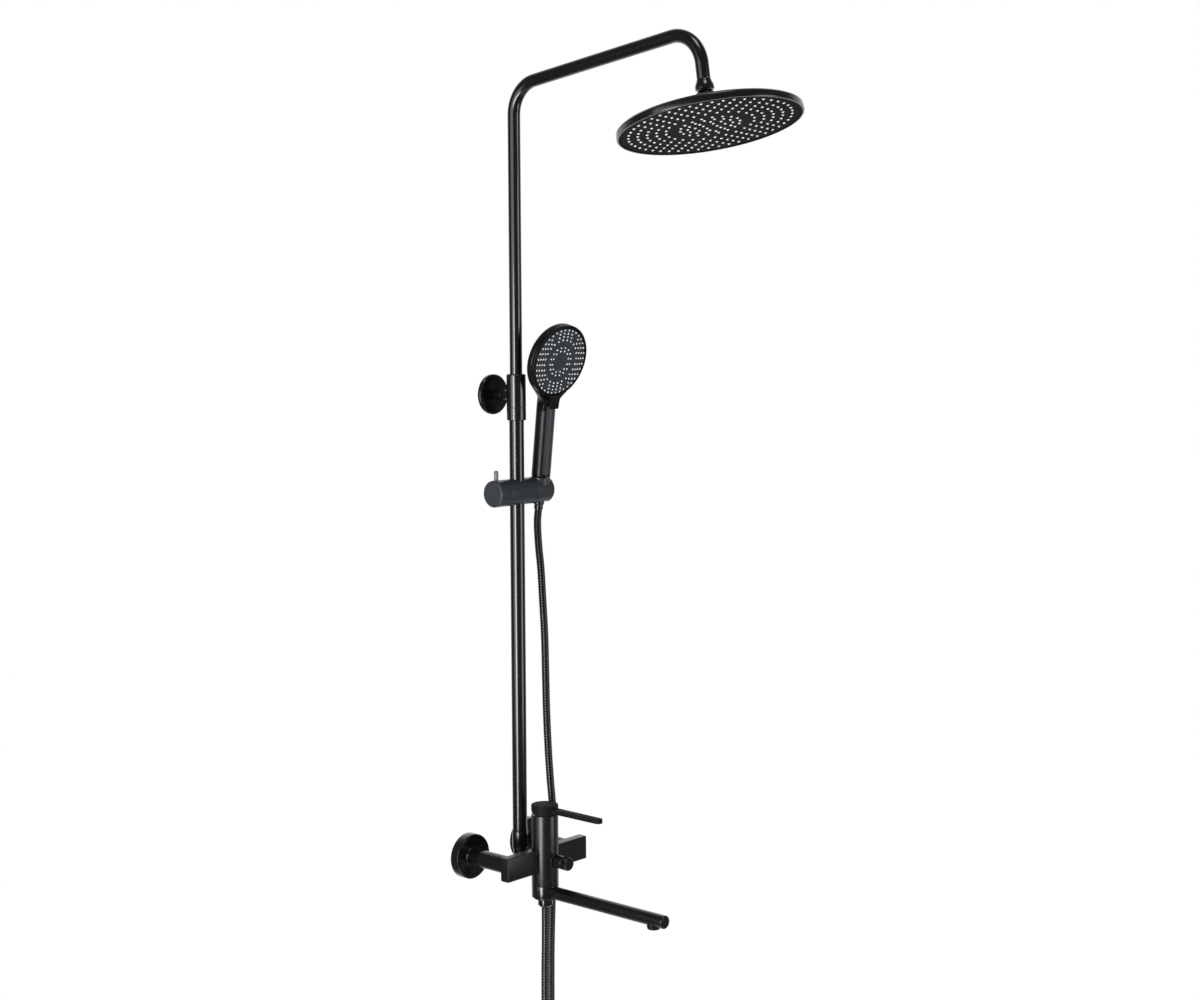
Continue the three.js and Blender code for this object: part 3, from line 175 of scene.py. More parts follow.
def finish(name, colour, other, roughness, metallic=0.0, specular=0.5, grain=600.0, bump=0.05,
           cloud=9.0, speck=None, uneven=0.05):
    """A painted, plated or moulded surface: two close tones in soft clouds, a fine grain in the
    relief, a gloss that is a little uneven, and specks where speck gives their tone."""
    material = bpy.data.materials.new(name)
    material.use_nodes = True
    nodes, links = material.node_tree.nodes, material.node_tree.links
    shader = nodes["Principled BSDF"]
    shader.inputs["Metallic"].default_value = metallic
    shader.inputs["Specular IOR Level"].default_value = specular
    place = nodes.new("ShaderNodeTexCoord").outputs["Object"]

    def noise(scale, detail):
        node = nodes.new("ShaderNodeTexNoise")
        node.inputs["Scale"].default_value = scale
        node.inputs["Detail"].default_value = detail
        links.new(place, node.inputs["Vector"])
        return node.outputs["Fac"]

    ramp = nodes.new("ShaderNodeValToRGB")
    for element, edge, tone in zip(ramp.color_ramp.elements, CLOUD_EDGES, (colour, other)):
        element.position = edge
        element.color = (*tone, 1)
    links.new(noise(cloud, 3.0), ramp.inputs["Fac"])
    tone = ramp.outputs["Color"]
    fine = noise(grain, 2.0)
    if speck:
        mix = nodes.new("ShaderNodeMix")
        mix.data_type = "RGBA"
        mix.inputs["B"].default_value = (*speck, 1)
        links.new(ranged(fine, SPECK_EDGES, (0.0, SPECK_STRENGTH)), mix.inputs["Factor"])
        links.new(tone, mix.inputs["A"])
        tone = mix.outputs["Result"]
    links.new(tone, shader.inputs["Base Color"])
    gloss = (roughness - uneven, roughness + uneven)
    links.new(ranged(noise(cloud * 4, 5.0), GLOSS_EDGES, gloss), shader.inputs["Roughness"])
    relief = nodes.new("ShaderNodeBump")
    relief.inputs["Strength"].default_value = bump
    relief.inputs["Distance"].default_value = RELIEF_DEPTH
    links.new(fine, relief.inputs["Height"])
    links.new(relief.outputs["Normal"], shader.inputs["Normal"])
    return material


BLACK = finish("polished_black", (0.0022, 0.0024, 0.0028), (0.0032, 0.0035, 0.0040), 0.18,
               specular=1.0, grain=1500, bump=0.0, uneven=0.015)
SATIN = finish("satin_black", (0.0030, 0.0032, 0.0036), (0.0046, 0.0049, 0.0055), 0.3,
               specular=0.7, grain=1500, bump=0.0, uneven=0.03)
DULL = finish("dull_black", (0.0060, 0.0064, 0.0070), (0.0085, 0.0090, 0.0098), 0.6,
              specular=0.12, grain=1500, bump=0.04)
HOSE_BLACK = finish("hose_black", (0.003, 0.0033, 0.0037), (0.005, 0.0054, 0.006), 0.22,
                    specular=0.7, grain=2500, bump=0.0)
PLASTIC = finish("black_plastic", (0.004, 0.0043, 0.0048), (0.006, 0.0064, 0.007), 0.3,
                 specular=0.3, grain=2200, bump=0.03)
SLATE = finish("slider_slate", (0.026, 0.031, 0.0365), (0.033, 0.0385, 0.0445), 0.3,
               specular=0.45, grain=1800, bump=0.02)
CHARCOAL = finish("head_charcoal", (0.018, 0.0195, 0.0200), (0.0225, 0.0243, 0.0250), 0.85,
                  specular=0.03, grain=2400, bump=0.06)
GUNMETAL = finish("gunmetal", (0.040, 0.0455, 0.052), (0.050, 0.0565, 0.064), 0.4, metallic=0.2,
                  specular=0.25, grain=3000, bump=0.03, speck=(0.06, 0.067, 0.077))
# The lock pin's pale grey is a painted reflection: the whole pin carries the grey of the light
# reflected on its top.
PIN_PAINTED_REFLECTION = finish("pin_grey_painted_reflection", (0.13, 0.135, 0.142), (0.16, 0.165, 0.172), 0.3, specular=0.5,
                grain=1500, bump=0.0)
SILICONE = finish("pale_silicone", (0.80, 0.82, 0.83), (0.86, 0.88, 0.89), 0.55, specular=0.3,
                  grain=1500)
BRASS = finish("raw_brass", (0.44, 0.27, 0.075), (0.52, 0.33, 0.10), 0.34, metallic=1.0, grain=900)
NYLON = finish("white_nylon", (0.70, 0.70, 0.65), (0.76, 0.76, 0.71), 0.5, grain=900)
RUBBER = finish("black_rubber", (0.006, 0.006, 0.006), (0.012, 0.012, 0.012), 0.8, specular=0.3,
                grain=700, bump=0.2)
STEEL = finish("stainless_steel", (0.46, 0.47, 0.49), (0.55, 0.56, 0.58), 0.28, metallic=1.0,
               grain=1400)


# ---------------- meshes
STRAIGHT = 0.01  # radians: a corner that turns less than this has no fillet
WELD = 1e-4  # millimetres between two points that become one


def polar(radius, angle, x=0, y=0):
    """The point at a radius and an angle from another point."""
    return x + radius * cos(angle), y + radius * sin(angle)


def round_profile(radius, degrees):
    """Profile points of a ball, at the given angles above its middle."""
    return [polar(radius, radians(angle)) for angle in degrees]


def rounded(points, closed=False, steps=5):
    """A line through the points, with an arc at each one that has a fillet as its third number."""
    line = []
    count = len(points)
    for i, point in enumerate(points):
        here = Vector(point[:2])
        fillet = point[2] if len(point) > 2 else 0
        if not fillet or (not closed and i in (0, count - 1)):
            line.append(here)
            continue
        back = (Vector(points[i - 1][:2]) - here).normalized()
        ahead = (Vector(points[(i + 1) % count][:2]) - here).normalized()
        turn = pi - back.angle(ahead)
        if turn < STRAIGHT:
            line.append(here)
            continue
        reach = fillet * tan(turn / 2)
        centre = here + (back + ahead).normalized() * fillet / cos(turn / 2)
        first = here + back * reach - centre
        last = here + ahead * reach - centre
        start = atan2(first.y, first.x)
        sweep = (atan2(last.y, last.x) - start + pi) % (2 * pi) - pi
        for k in range(steps + 1):
            angle = start + sweep * k / steps
            line.append(centre + Vector(polar(1, angle)) * fillet)
    return line


def solid(vertices, faces, matrix=Matrix()):
    """An object of a closed mesh, drawn in millimetres and set in its place by the matrix."""
    mesh = bpy.data.meshes.new("solid")
    mesh.from_pydata(vertices, [], faces)
    made = bmesh.new()
    made.from_mesh(mesh)
    bmesh.ops.remove_doubles(made, verts=made.verts, dist=WELD)
    bmesh.ops.recalc_face_normals(made, faces=made.faces)
    made.to_mesh(mesh)
    made.free()
    mesh.transform(matrix @ Matrix.Scale(MM, 4))
    return added("solid", mesh)


def rings_to_solid(rings, matrix=Matrix(), loop=False):
    """Skins equal rings of points. The ends are closed, or joined to each other in a loop."""
    count = len(rings[0])
    vertices = [point for ring in rings for point in ring]
    faces = []
    spans = len(rings) if loop else len(rings) - 1
    for i in range(spans):
        a, b = i * count, (i + 1) % len(rings) * count
        for k in range(count):
            n = (k + 1) % count
            faces.append((a + k, a + n, b + n, b + k))
    if not loop:
        faces.append(tuple(reversed(range(count))))
        faces.append(tuple(range(len(vertices) - count, len(vertices))))
    return solid(vertices, faces, matrix)


def lathe(points, matrix=Matrix(), segments=96, shape=None):
    """Turns (radius, height, fillet) points about Z. A profile that doesn't start and end on the
    axis closes on itself. shape(angle, radius, height) may change a radius."""
    closed = not (points[0][0] == 0 and points[-1][0] == 0)
    line = rounded(points, closed)
    if not closed:
        line = line[1:-1]
    angles = [2 * pi * k / segments for k in range(segments)]
    rings = []
    for radius, height in line:
        rings.append([(*polar(shape(angle, radius, height) if shape else radius, angle), height)
                      for angle in angles])
    return rings_to_solid(rings, matrix, loop=closed)


def rod(radius, low, high, matrix=Matrix(), fillet=0, segments=96):
    """A round rod along Z between two heights."""
    points = [(0, low), (radius, low, fillet), (radius, high, fillet), (0, high)]
    return lathe(points, matrix, segments)


def block(corner, other, matrix=Matrix()):
    (x0, y0, z0), (x1, y1, z1) = corner, other
    lower = [(x0, y0, z0), (x1, y0, z0), (x1, y1, z0), (x0, y1, z0)]
    upper = [(x, y, z1) for x, y, _ in lower]
    return rings_to_solid([lower, upper], matrix)


def edge_curve(edge, steps):
    """Places (inset, rise) on a rounded edge, from the flat face to the side."""
    angles = [pi / 2 * k / steps for k in range(steps + 1)]
    return [(edge * (1 - sin(angle)), edge * (1 - cos(angle))) for angle in angles]


def cushioned(outline_at, low, high, edge, matrix=Matrix()):
    """A plate between two heights whose edges are rounded. outline_at(inset) gives its outline."""
    curve = edge_curve(edge, 4)
    rings = [[(x, y, low + rise) for x, y in outline_at(inset)] for inset, rise in curve]
    rings += [[(x, y, high - rise) for x, y in outline_at(inset)] for inset, rise in curve[::-1]]
    return rings_to_solid(rings, matrix)


def evaluated(thing):
    """The object with its modifiers applied to its mesh."""
    graph = bpy.context.evaluated_depsgraph_get()
    mesh = bpy.data.meshes.new_from_object(thing.evaluated_get(graph))
    thing.modifiers.clear()
    thing.data = mesh
    return thing


def combined(base, operation, *others):
    """The base joined with the other objects, or cut by them. The others are used up."""
    for other in others:
        modifier = base.modifiers.new("shape", "BOOLEAN")
        modifier.operation = operation
        modifier.solver = "MANIFOLD"
        modifier.object = other
    evaluated(base)
    for other in others:
        bpy.data.objects.remove(other)
    return base


def applied(thing, kind, **settings):
    """The object with one modifier applied to its mesh."""
    modifier = thing.modifiers.new("made", kind)
    for key, value in settings.items():
        setattr(modifier, key, value)
    return evaluated(thing)


def frames_along(points):
    """Turning-free frames along a line of points: (point, side, up) at each."""
    frames = []
    side = None
    for i, point in enumerate(points):
        along = (points[min(i + 1, len(points) - 1)] - points[max(i - 1, 0)]).normalized()
        if side is None:
            side = along.cross(Vector((1, 0, 0)) if abs(along.x) < 0.9 else Vector((0, 1, 0)))
        side = (side - along * side.dot(along)).normalized()
        frames.append((point, side, along.cross(side)))
    return frames


def around(frame, radii, shift=Vector()):
    """A ring of points round a frame, one for each radius, shifted by a vector."""
    point, side, up = frame
    turns = [2 * pi * k / len(radii) for k in range(len(radii))]
    return [point + shift + (side * cos(turn) + up * sin(turn)) * radius
            for turn, radius in zip(turns, radii)]


def swept(points, radius, matrix=Matrix(), segments=64, edge=0.8):
    """A round rod along a line of points, its ends slightly rounded."""
    frames = frames_along(points)

    start = (points[1] - points[0]).normalized()
    end = (points[-1] - points[-2]).normalized()
    curve = edge_curve(edge, 3)
    rings = [around(frames[0], [radius - inset] * segments, start * rise)
             for inset, rise in curve]
    rings += [around(frame, [radius] * segments) for frame in frames[1:-1]]
    rings += [around(frames[-1], [radius - inset] * segments, -end * rise)
              for inset, rise in curve[::-1]]
    return rings_to_solid(rings, matrix)


def bent_line(corners, radius, arc_steps=14, straight=12):
    """A line through corners, with arcs of one radius, in short steps."""
    line = [corners[0]]

    def go_to(target):
        origin = line[-1]
        for k in range(1, straight + 1):
            line.append(origin.lerp(target, k / straight))

    for i in range(1, len(corners) - 1):
        arrive = (corners[i] - corners[i - 1]).normalized()
        leave = (corners[i + 1] - corners[i]).normalized()
        turn = arrive.angle(leave)
        start = corners[i] - arrive * radius * tan(turn / 2)
        inward = (leave - arrive * leave.dot(arrive)).normalized()
        centre = start + inward * radius
        go_to(start)
        for k in range(1, arc_steps + 1):
            angle = turn * k / arc_steps
            out, along = radius * cos(angle), radius * sin(angle)
            line.append(centre - inward * out + arrive * along)
    go_to(corners[-1])
    return line


def smoothed(thing, name, material, sharp):
    """Names an object, gives it its finish, and smooths it up to an angle in degrees."""
    thing.name = name
    thing.data.name = name
    thing.data.shade_smooth()
    thing.data.set_sharp_from_angle(angle=radians(sharp))
    thing.data.materials.clear()
    thing.data.materials.append(material)


def dress(thing, name, node, body="column", material=BLACK, sharp=38):
    """Smooths an object, ties it to its body, and hides the CAD node it stands for."""
    smoothed(thing, name, material, sharp)
    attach(thing, body)
    if node:
        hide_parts(node)


def at(x, y, z):
    """A frame at a point given in millimetres."""
    return Matrix.Translation((x * MM, y * MM, z * MM))


FRONT = Matrix.Rotation(pi / 2, 4, "X")  # +Z to -Y
BACK = Matrix.Rotation(-pi / 2, 4, "X")  # +Z to +Y
RIGHT = Matrix.Rotation(pi / 2, 4, "Y")  # +Z to +X
SECTION = Matrix(((0, 0, 1, 0), (1, 0, 0, 0), (0, 1, 0, 0), (0, 0, 0, 1)))  # +X to +Y, +Z to +X

# ---------------- hose
HOSE_DIAMETER = 14.0
HOSE_PITCH = 5.0
HOSE_GROOVE = 0.9  # depth of the groove between two turns of the sleeve
HOSE_CROWN = 0.7  # share of a turn that is its low crown; the groove takes the rest
HOSE_CROWN_RISE = 0.12
HOSE_SIDES = 32
HOSE_RINGS_PER_PITCH = 8
# From the nut under the mixer down to the hanging loop, up beside the riser and into the cone nut.
HOSE_ROUTE = [
    (0, -121, -88.8), (0, -121, -115), (-2, -122.5, -150), (-7, -126, -200), (-15, -133, -255),
    (-24, -141, -310), (-31, -147, -360), (-33, -149, -385), (-27, -144, -417), (-8, -128, -443),
    (17, -109, -453), (42, -88, -443), (61, -73, -417), (68, -68, -385), (68, -69, -345),
    (64, -73, -290), (58, -79, -225), (52, -86, -160), (48, -92, -100), (45.5, -96.5, -40),
    (45, -98.5, 20), (45, -98, 80), (46, -92, 130), (48, -86, 180), (50.4, -80, 250),
    (51.8, -77, 320), (52.0, -75, 390), (52.1, -71, 450), (53.4, -65.5, 510), (54, -60.5, 545),
    (54, -57.6, 590), (54, -60.1, 613.9),
]
LOOP_TOP = -0.385  # the hanging loop lies below this height; the real loop moves half as far as the slider, without stretching
# Each stretch of the hose: its name, its two bodies, the heights in metres where the blend between
# them starts and ends (None for the loop), and the height where the stretch itself ends.
HOSE_STRETCHES = [
    ("hose_mixer_side", "column", "slider_carriage", -0.12, 2 * LOOP_TOP + 0.12, LOOP_TOP),
    ("hose_loop", "column", "slider_carriage", None, None, LOOP_TOP),
    ("hose_rising_side", "column", "slider_carriage", 2 * LOOP_TOP - 0.20, 0.20, 0.20),
    ("hose_below_slider", "slider_carriage", "slider", 0.21, 0.33, 0.335),
    ("hose_below_holder", "slider", "holder", 0.34, 0.524, 0.529),
    ("hose_at_handset", "holder", "handset", 0.535, 0.605, 1.0),
]


def smooth_route(route, steps=24):
    """A centripetal Catmull-Rom curve through the points."""
    points = [Vector(point) for point in route]
    points = [points[0] * 2 - points[1], *points, points[-1] * 2 - points[-2]]
    line = []
    for p0, p1, p2, p3 in zip(points, points[1:], points[2:], points[3:]):
        t1 = (p1 - p0).length ** 0.5
        t2 = t1 + (p2 - p1).length ** 0.5
        t3 = t2 + (p3 - p2).length ** 0.5
        for k in range(steps):
            t = t1 + (t2 - t1) * k / steps
            a1 = p0 * ((t1 - t) / t1) + p1 * (t / t1)
            a2 = p1 * ((t2 - t) / (t2 - t1)) + p2 * ((t - t1) / (t2 - t1))
            a3 = p2 * ((t3 - t) / (t3 - t2)) + p3 * ((t - t2) / (t3 - t2))
            b1 = a1 * ((t2 - t) / t2) + a2 * (t / t2)
            b2 = a2 * ((t3 - t) / (t3 - t1)) + a3 * ((t - t1) / (t3 - t1))
            line.append(b1 * ((t2 - t) / (t2 - t1)) + b2 * ((t - t1) / (t2 - t1)))
    line.append(points[-2])
    return line


def even(line, step):
    """The line again, in equal steps of about that length."""
    lengths = [0.0]
    for a, b in zip(line, line[1:]):
        lengths.append(lengths[-1] + (b - a).length)
    count = round(lengths[-1] / step)
    out, i = [], 0
    for k in range(count + 1):
        target = lengths[-1] * k / count
        while i < len(line) - 2 and lengths[i + 1] < target:
            i += 1
        out.append(line[i].lerp(line[i + 1], (target - lengths[i]) / (lengths[i + 1] - lengths[i])))
    return out


def sleeve_radius(turns):
    """The radius of the wound sleeve at a number of turns: a low crown and a narrow groove."""
    share = turns % 1.0
    radius = HOSE_DIAMETER / 2
    if share > HOSE_CROWN:
        return radius - HOSE_GROOVE * sin(pi * (share - HOSE_CROWN) / (1 - HOSE_CROWN))
    half = HOSE_CROWN / 2
    return radius - HOSE_CROWN_RISE * ((share - half) / half) ** 2


def make_hose():
    step = HOSE_PITCH / HOSE_RINGS_PER_PITCH
    line = even(smooth_route(HOSE_ROUTE), step)
    frames = frames_along(line)
    bottom = min(range(len(line)), key=lambda i: line[i].z)
    first = 0
    for name, upper, lower, start, end, height in HOSE_STRETCHES:
        if first == 0:
            last = next(i for i in range(len(line)) if line[i].z * MM < height)
        else:
            rising = (i for i in range(bottom, len(line)) if line[i].z * MM > height)
            last = next(rising, len(line) - 1)
        rings = []
        for i in range(first, last + 1):
            turns = [i / HOSE_RINGS_PER_PITCH + k / HOSE_SIDES for k in range(HOSE_SIDES)]
            rings.append(around(frames[i], [sleeve_radius(turn) for turn in turns]))
        hose = rings_to_solid(rings)
        smoothed(hose, name, HOSE_BLACK, 60)
        if start is None:
            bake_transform(hose)
        else:
            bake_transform(hose)
        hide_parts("hose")
        first = last


make_hose()

# ---------------- places
def joint_frame(name, height=None):
    """A frame at a joint's point, at its own height or at another, in millimetres."""
    x, y, z = JOINT[name]["pos_m"]
    return Matrix.Translation((x, y, z if height is None else height * MM))


def joint_axes(name, across):
    """A frame at a joint's point, with Z along its axis and X along another joint's."""
    up = Vector(JOINT[name]["axis"]).normalized()
    across = Vector(JOINT[across]["axis"]).normalized()
    turn = Matrix((across, up.cross(across), up)).transposed().to_4x4()
    return joint_frame(name) @ turn


def lean(name):
    """The turn about X from straight up to a joint's axis."""
    _, y, z = JOINT[name]["axis"]
    return Matrix.Rotation(atan2(-y, z), 4, "X")


MIXER = joint_frame("spout_turn", 0)  # on the body's axis, at the height of the inlets
RISER = joint_frame("slider_turn", 0)  # on the riser's axis
SLIDER = joint_frame("slider_turn")
HANDSET_AXIS = (0.054, -0.064)  # where the hand shower's axis passes the slider's height
HANDSET = Matrix.Translation((*HANDSET_AXIS, SLIDER.translation.z)) @ lean("handset_lift")
FACE_AXIS = JOINT["selector_turn"]["axis"]
FACE_LEAN = Matrix.Rotation(atan2(-FACE_AXIS[2], -FACE_AXIS[1]), 4, "X")
FACE = joint_frame("selector_turn") @ FACE_LEAN @ BACK  # +Y down the face, +Z into the shell
ARM_END = joint_frame("head_swivel") @ lean("head_swivel")
HEAD_CANT = radians(5.5)  # between the head's axis and the arm's end
HEAD = joint_axes("head_swivel", "head_tilt") @ Matrix.Rotation(-HEAD_CANT, 4, "X")


# ---------------- inlets
def make_inlet(side):
    low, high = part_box(f"rose_{side}")
    inlet = Matrix.Translation(((low.x + high.x) / 2, 0, 0)) @ FRONT
    radius = (high.x - low.x) / 2 / MM
    rose = lathe([
        (radius, 0, 0.4), (radius, 16.5, 0.5), (radius - 1.5, 18, 0.6), (18.4, 18, 0.3),
        (18.2, 19.2, 0.4), (15.6, 19.2, 0.3), (15.6, 15.5), (radius - 6.5, 14.5, 2),
        (radius - 6.5, 0),
    ], inlet, 128)
    dress(rose, f"rose_cover_{side}", f"rose_{side}")
    nut = lathe([
        (13.5, 10), (14.7, 10, 0.5), (15.5, 11, 0.5), (15.5, 100.5, 0.3), (15.1, 101, 0.2),
        (15.1, 101.8, 0.2), (15.5, 102.3, 0.3), (15.5, 108.6, 0.8), (14.6, 109.7, 0.4),
        (13.5, 109.7),
    ], inlet)
    dress(nut, f"coupling_sleeve_{side}", f"coupling_nut_{side}")


# ---------------- mixer
BODY = 24.0  # radius
BODY_TOP = 80.5
BODY_BOTTOM = -45.5
HUB_LOW, HUB_HIGH = BODY_TOP + 0.5, BODY_TOP + 17.5  # the lever's hub
BAR_HALF = 101  # from the body's axis to an end of the bar
SPOUT_BOTTOM = -68.5
SPOUT_AXIS = -58.5
SPOUT_END = 277
SPOUT_RADIUS = 11.5
AERATOR_REACH = 251
DIVERTER_END = 59
LEVER_REACH = 134
LEVER_TIP = 7.5  # half the blade's width at its tip
LEVER_ROOT = 8.5
LEVER_TILT = radians(22)  # the most that the lever lifts, cut free under its hub
DOME_CENTRE = 74  # the lever turns about this height
DOME_RADIUS = 19
KNURLS = 24
KNURL_DEPTH = 0.9
KNURL_LENGTH = 11.4


def rounded_rectangle(depth, height, corner, inset, steps=6):
    """The outline of the mixer bar's section, or of the window for the hand shower's strip."""
    a, b, r = depth / 2 - inset, height / 2 - inset, max(corner - inset, 0.3)
    points = []
    corners = ((a - r, b - r, 0), (r - a, b - r, 90), (r - a, r - b, 180), (a - r, r - b, 270))
    for cx, cy, start in corners:
        for k in range(steps + 1):
            points.append(polar(r, radians(start + 90 * k / steps), cx, cy))
    return points


def make_mixer_body():
    barrel = lathe([
        (0, SPOUT_BOTTOM), (15, SPOUT_BOTTOM, 0.3), (15, BODY_BOTTOM), (BODY, BODY_BOTTOM, 0.8),
        (BODY, BODY_TOP, 0.8), (19.5, BODY_TOP), (19.5, BODY_TOP - 2), (0, BODY_TOP - 2),
    ], MIXER, 160)
    bar = cushioned(lambda inset: rounded_rectangle(19, 42, 2.5, inset), -BAR_HALF, BAR_HALF, 1.2,
                    MIXER @ at(0, 1.5, 0) @ SECTION)
    combined(barrel, "UNION", bar)
    dress(barrel, "mixer_shell", "mixer_body", "column", SATIN)


def lever_outline(inset, steps=12):
    """The lever's blade from above: it narrows a little towards its round tip."""
    tip = LEVER_TIP - inset
    root = LEVER_ROOT - inset
    reach = LEVER_REACH - LEVER_TIP
    points = [(root, 0)]
    for k in range(steps + 1):
        angle = pi * k / steps
        points.append((tip * cos(angle), -reach - tip * sin(angle)))
    points.append((-root, 0))
    return points[::-1]


def make_lever():
    hub = lathe([(0, HUB_LOW), (BODY, HUB_LOW, 0.6), (BODY, HUB_HIGH, 1.3), (0, HUB_HIGH)],
                MIXER, 160)
    mid = (HUB_LOW + HUB_HIGH) / 2
    blade = cushioned(lever_outline, mid - 4, mid + 4, 1.4, MIXER)
    combined(hub, "UNION", blade)
    tilt = MIXER @ at(0, -1, HUB_LOW + 0.3) @ Matrix.Rotation(LEVER_TILT, 4, "X")
    relief = block((-26, 0, -48), (26, 72, 0), tilt)
    room = DOME_RADIUS + 0.5
    ball = lathe([(0, -room), *round_profile(room, range(-84, 90, 6)), (0, room)],
                 MIXER @ at(0, 0, DOME_CENTRE))
    combined(hub, "DIFFERENCE", relief, ball)
    dress(hub, "lever_handle", "lever", "lever", DULL, sharp=30)
    foot, bore, steps = 6.8, 10, 12
    start, end = asin(foot / DOME_RADIUS), acos(bore / DOME_RADIUS)
    arc = []
    for k in range(steps + 1):
        angle = start + (end - start) * k / steps
        arc.append(polar(DOME_RADIUS, angle, 0, DOME_CENTRE))
    dome = lathe([(bore, BODY_TOP + 0.3), *arc], MIXER)
    combined(dome, "DIFFERENCE", block((-7, 0, BODY_TOP - 1), (7, 14.5, BODY_TOP + 12), MIXER))
    dress(dome, "lever_dome_cap", "lever_dome", "lever_carrier")


def make_spout():
    top = BODY_BOTTOM - 0.5
    outlet_place = MIXER @ at(0, -AERATOR_REACH, 0)
    collar = lathe([
        (15.5, SPOUT_BOTTOM), (BODY, SPOUT_BOTTOM, 0.8), (BODY, top, 0.8), (15.5, top),
    ], MIXER, 160)
    pipe = lathe([
        (0, 16), (SPOUT_RADIUS, 16), (SPOUT_RADIUS, SPOUT_END - 1.4, 1.2),
        (SPOUT_RADIUS - 1.4, SPOUT_END, 0.6), (0, SPOUT_END),
    ], MIXER @ at(0, 0, SPOUT_AXIS) @ FRONT, 96)
    lip = lathe([(0, -71.5), (12, -71.5, 0.6), (12, -60), (0, -60)], outlet_place)
    combined(collar, "UNION", pipe, lip)
    room = rod(15.5, SPOUT_BOTTOM - 2, top + 2, MIXER)
    mouth = rod(10, -80, -66, outlet_place)
    combined(collar, "DIFFERENCE", room, mouth)
    dress(collar, "spout_pipe", "spout", "spout", sharp=32)
    outlet = lathe([
        (0, -72), (1.4, -72, 0.2), (1.4, -73.2, 0.2), (2.6, -73.2, 0.2), (2.6, -72, 0.2),
        (4.2, -72, 0.2), (4.2, -73.2, 0.2), (5.4, -73.2, 0.2), (5.4, -72, 0.2), (7.6, -72, 0.2),
        (8, -74.5, 0.2), (10.4, -74.5, 0.5), (11, -73.9, 0.4), (11, -71.8), (9.7, -71.8),
        (9.7, -66), (0, -66),
    ], outlet_place)
    dress(outlet, "spout_aerator", "aerator", "spout", PLASTIC)


def make_hose_outlet():
    flange = lathe([
        (5, -80.8), (8, -80.8), (8, -71.5, 0.4), (20.5, -71.5, 0.6), (20.5, -69, 0.4), (7.7, -69),
        (7.7, -57), (5, -57),
    ], MIXER)
    dress(flange, "hose_flange", "hose_outlet")
    nut = lathe([
        (0, -88.5), (8, -88.5, 0.4), (11.6, -85.2, 1.2), (13, -83.4, 1), (13, -72.8, 0.5),
        (12, -71.8, 0.4), (8.3, -71.8), (8.3, -81.3), (0, -81.3),
    ], MIXER)
    flats = [block((-13, 11.8, -82.5), (13, 16, -74.2), MIXER @ Matrix.Rotation(turn, 4, "Z"))
             for turn in (0, pi)]
    combined(nut, "DIFFERENCE", *flats)
    dress(nut, "hose_nut_bottom", "hose_nut_lower")


def ridge(angle, count):
    """1 on each of a number of ridges round an axis, and 0 halfway between two."""
    return abs(((angle * count / (2 * pi)) % 1.0) - 0.5) * 2


def make_diverter():
    seat = BODY - 0.5
    bonnet = lathe([(4.5, seat - 6), (13, seat - 6), (13, seat + 3, 0.5), (4.5, seat + 3)],
                   MIXER @ FRONT)
    body = rod(BODY + 0.05, -30, 30, MIXER, segments=160)
    combined(bonnet, "DIFFERENCE", body)
    dress(bonnet, "diverter_collar", "diverter_bonnet")
    start, end = seat + 3.5, DIVERTER_END

    def knurl(angle, radius, height):
        if radius < 10.5 or height < end - KNURL_LENGTH:
            return radius
        return radius - KNURL_DEPTH * (1 - ridge(angle, KNURLS))

    knob = lathe([
        (0, start + 6), (5, start + 6), (5, start), (11.2, start, 0.4), (11.7, start + 0.8, 0.3),
        (11.7, end - 13.2, 0.4), (10.9, end - 12.7, 0.3), (10.9, end - 12.1, 0.3),
        (12, end - KNURL_LENGTH, 0.3), (12, end - 6), (12, end - 1.2, 1), (10.6, end, 0.8),
        (0, end),
    ], MIXER @ FRONT, 240, knurl)
    dress(knob, "diverter_grip", "diverter_knob", "diverter", sharp=25)


# ---------------- riser
ELBOW_HEIGHT = -8
ELBOW_REACH = 42  # from the riser's axis into the mixer's body
TUBE_TOP = 844
CLAMP_SCREW_HEIGHT = 834
WALL_PLATE_HEIGHT = 819


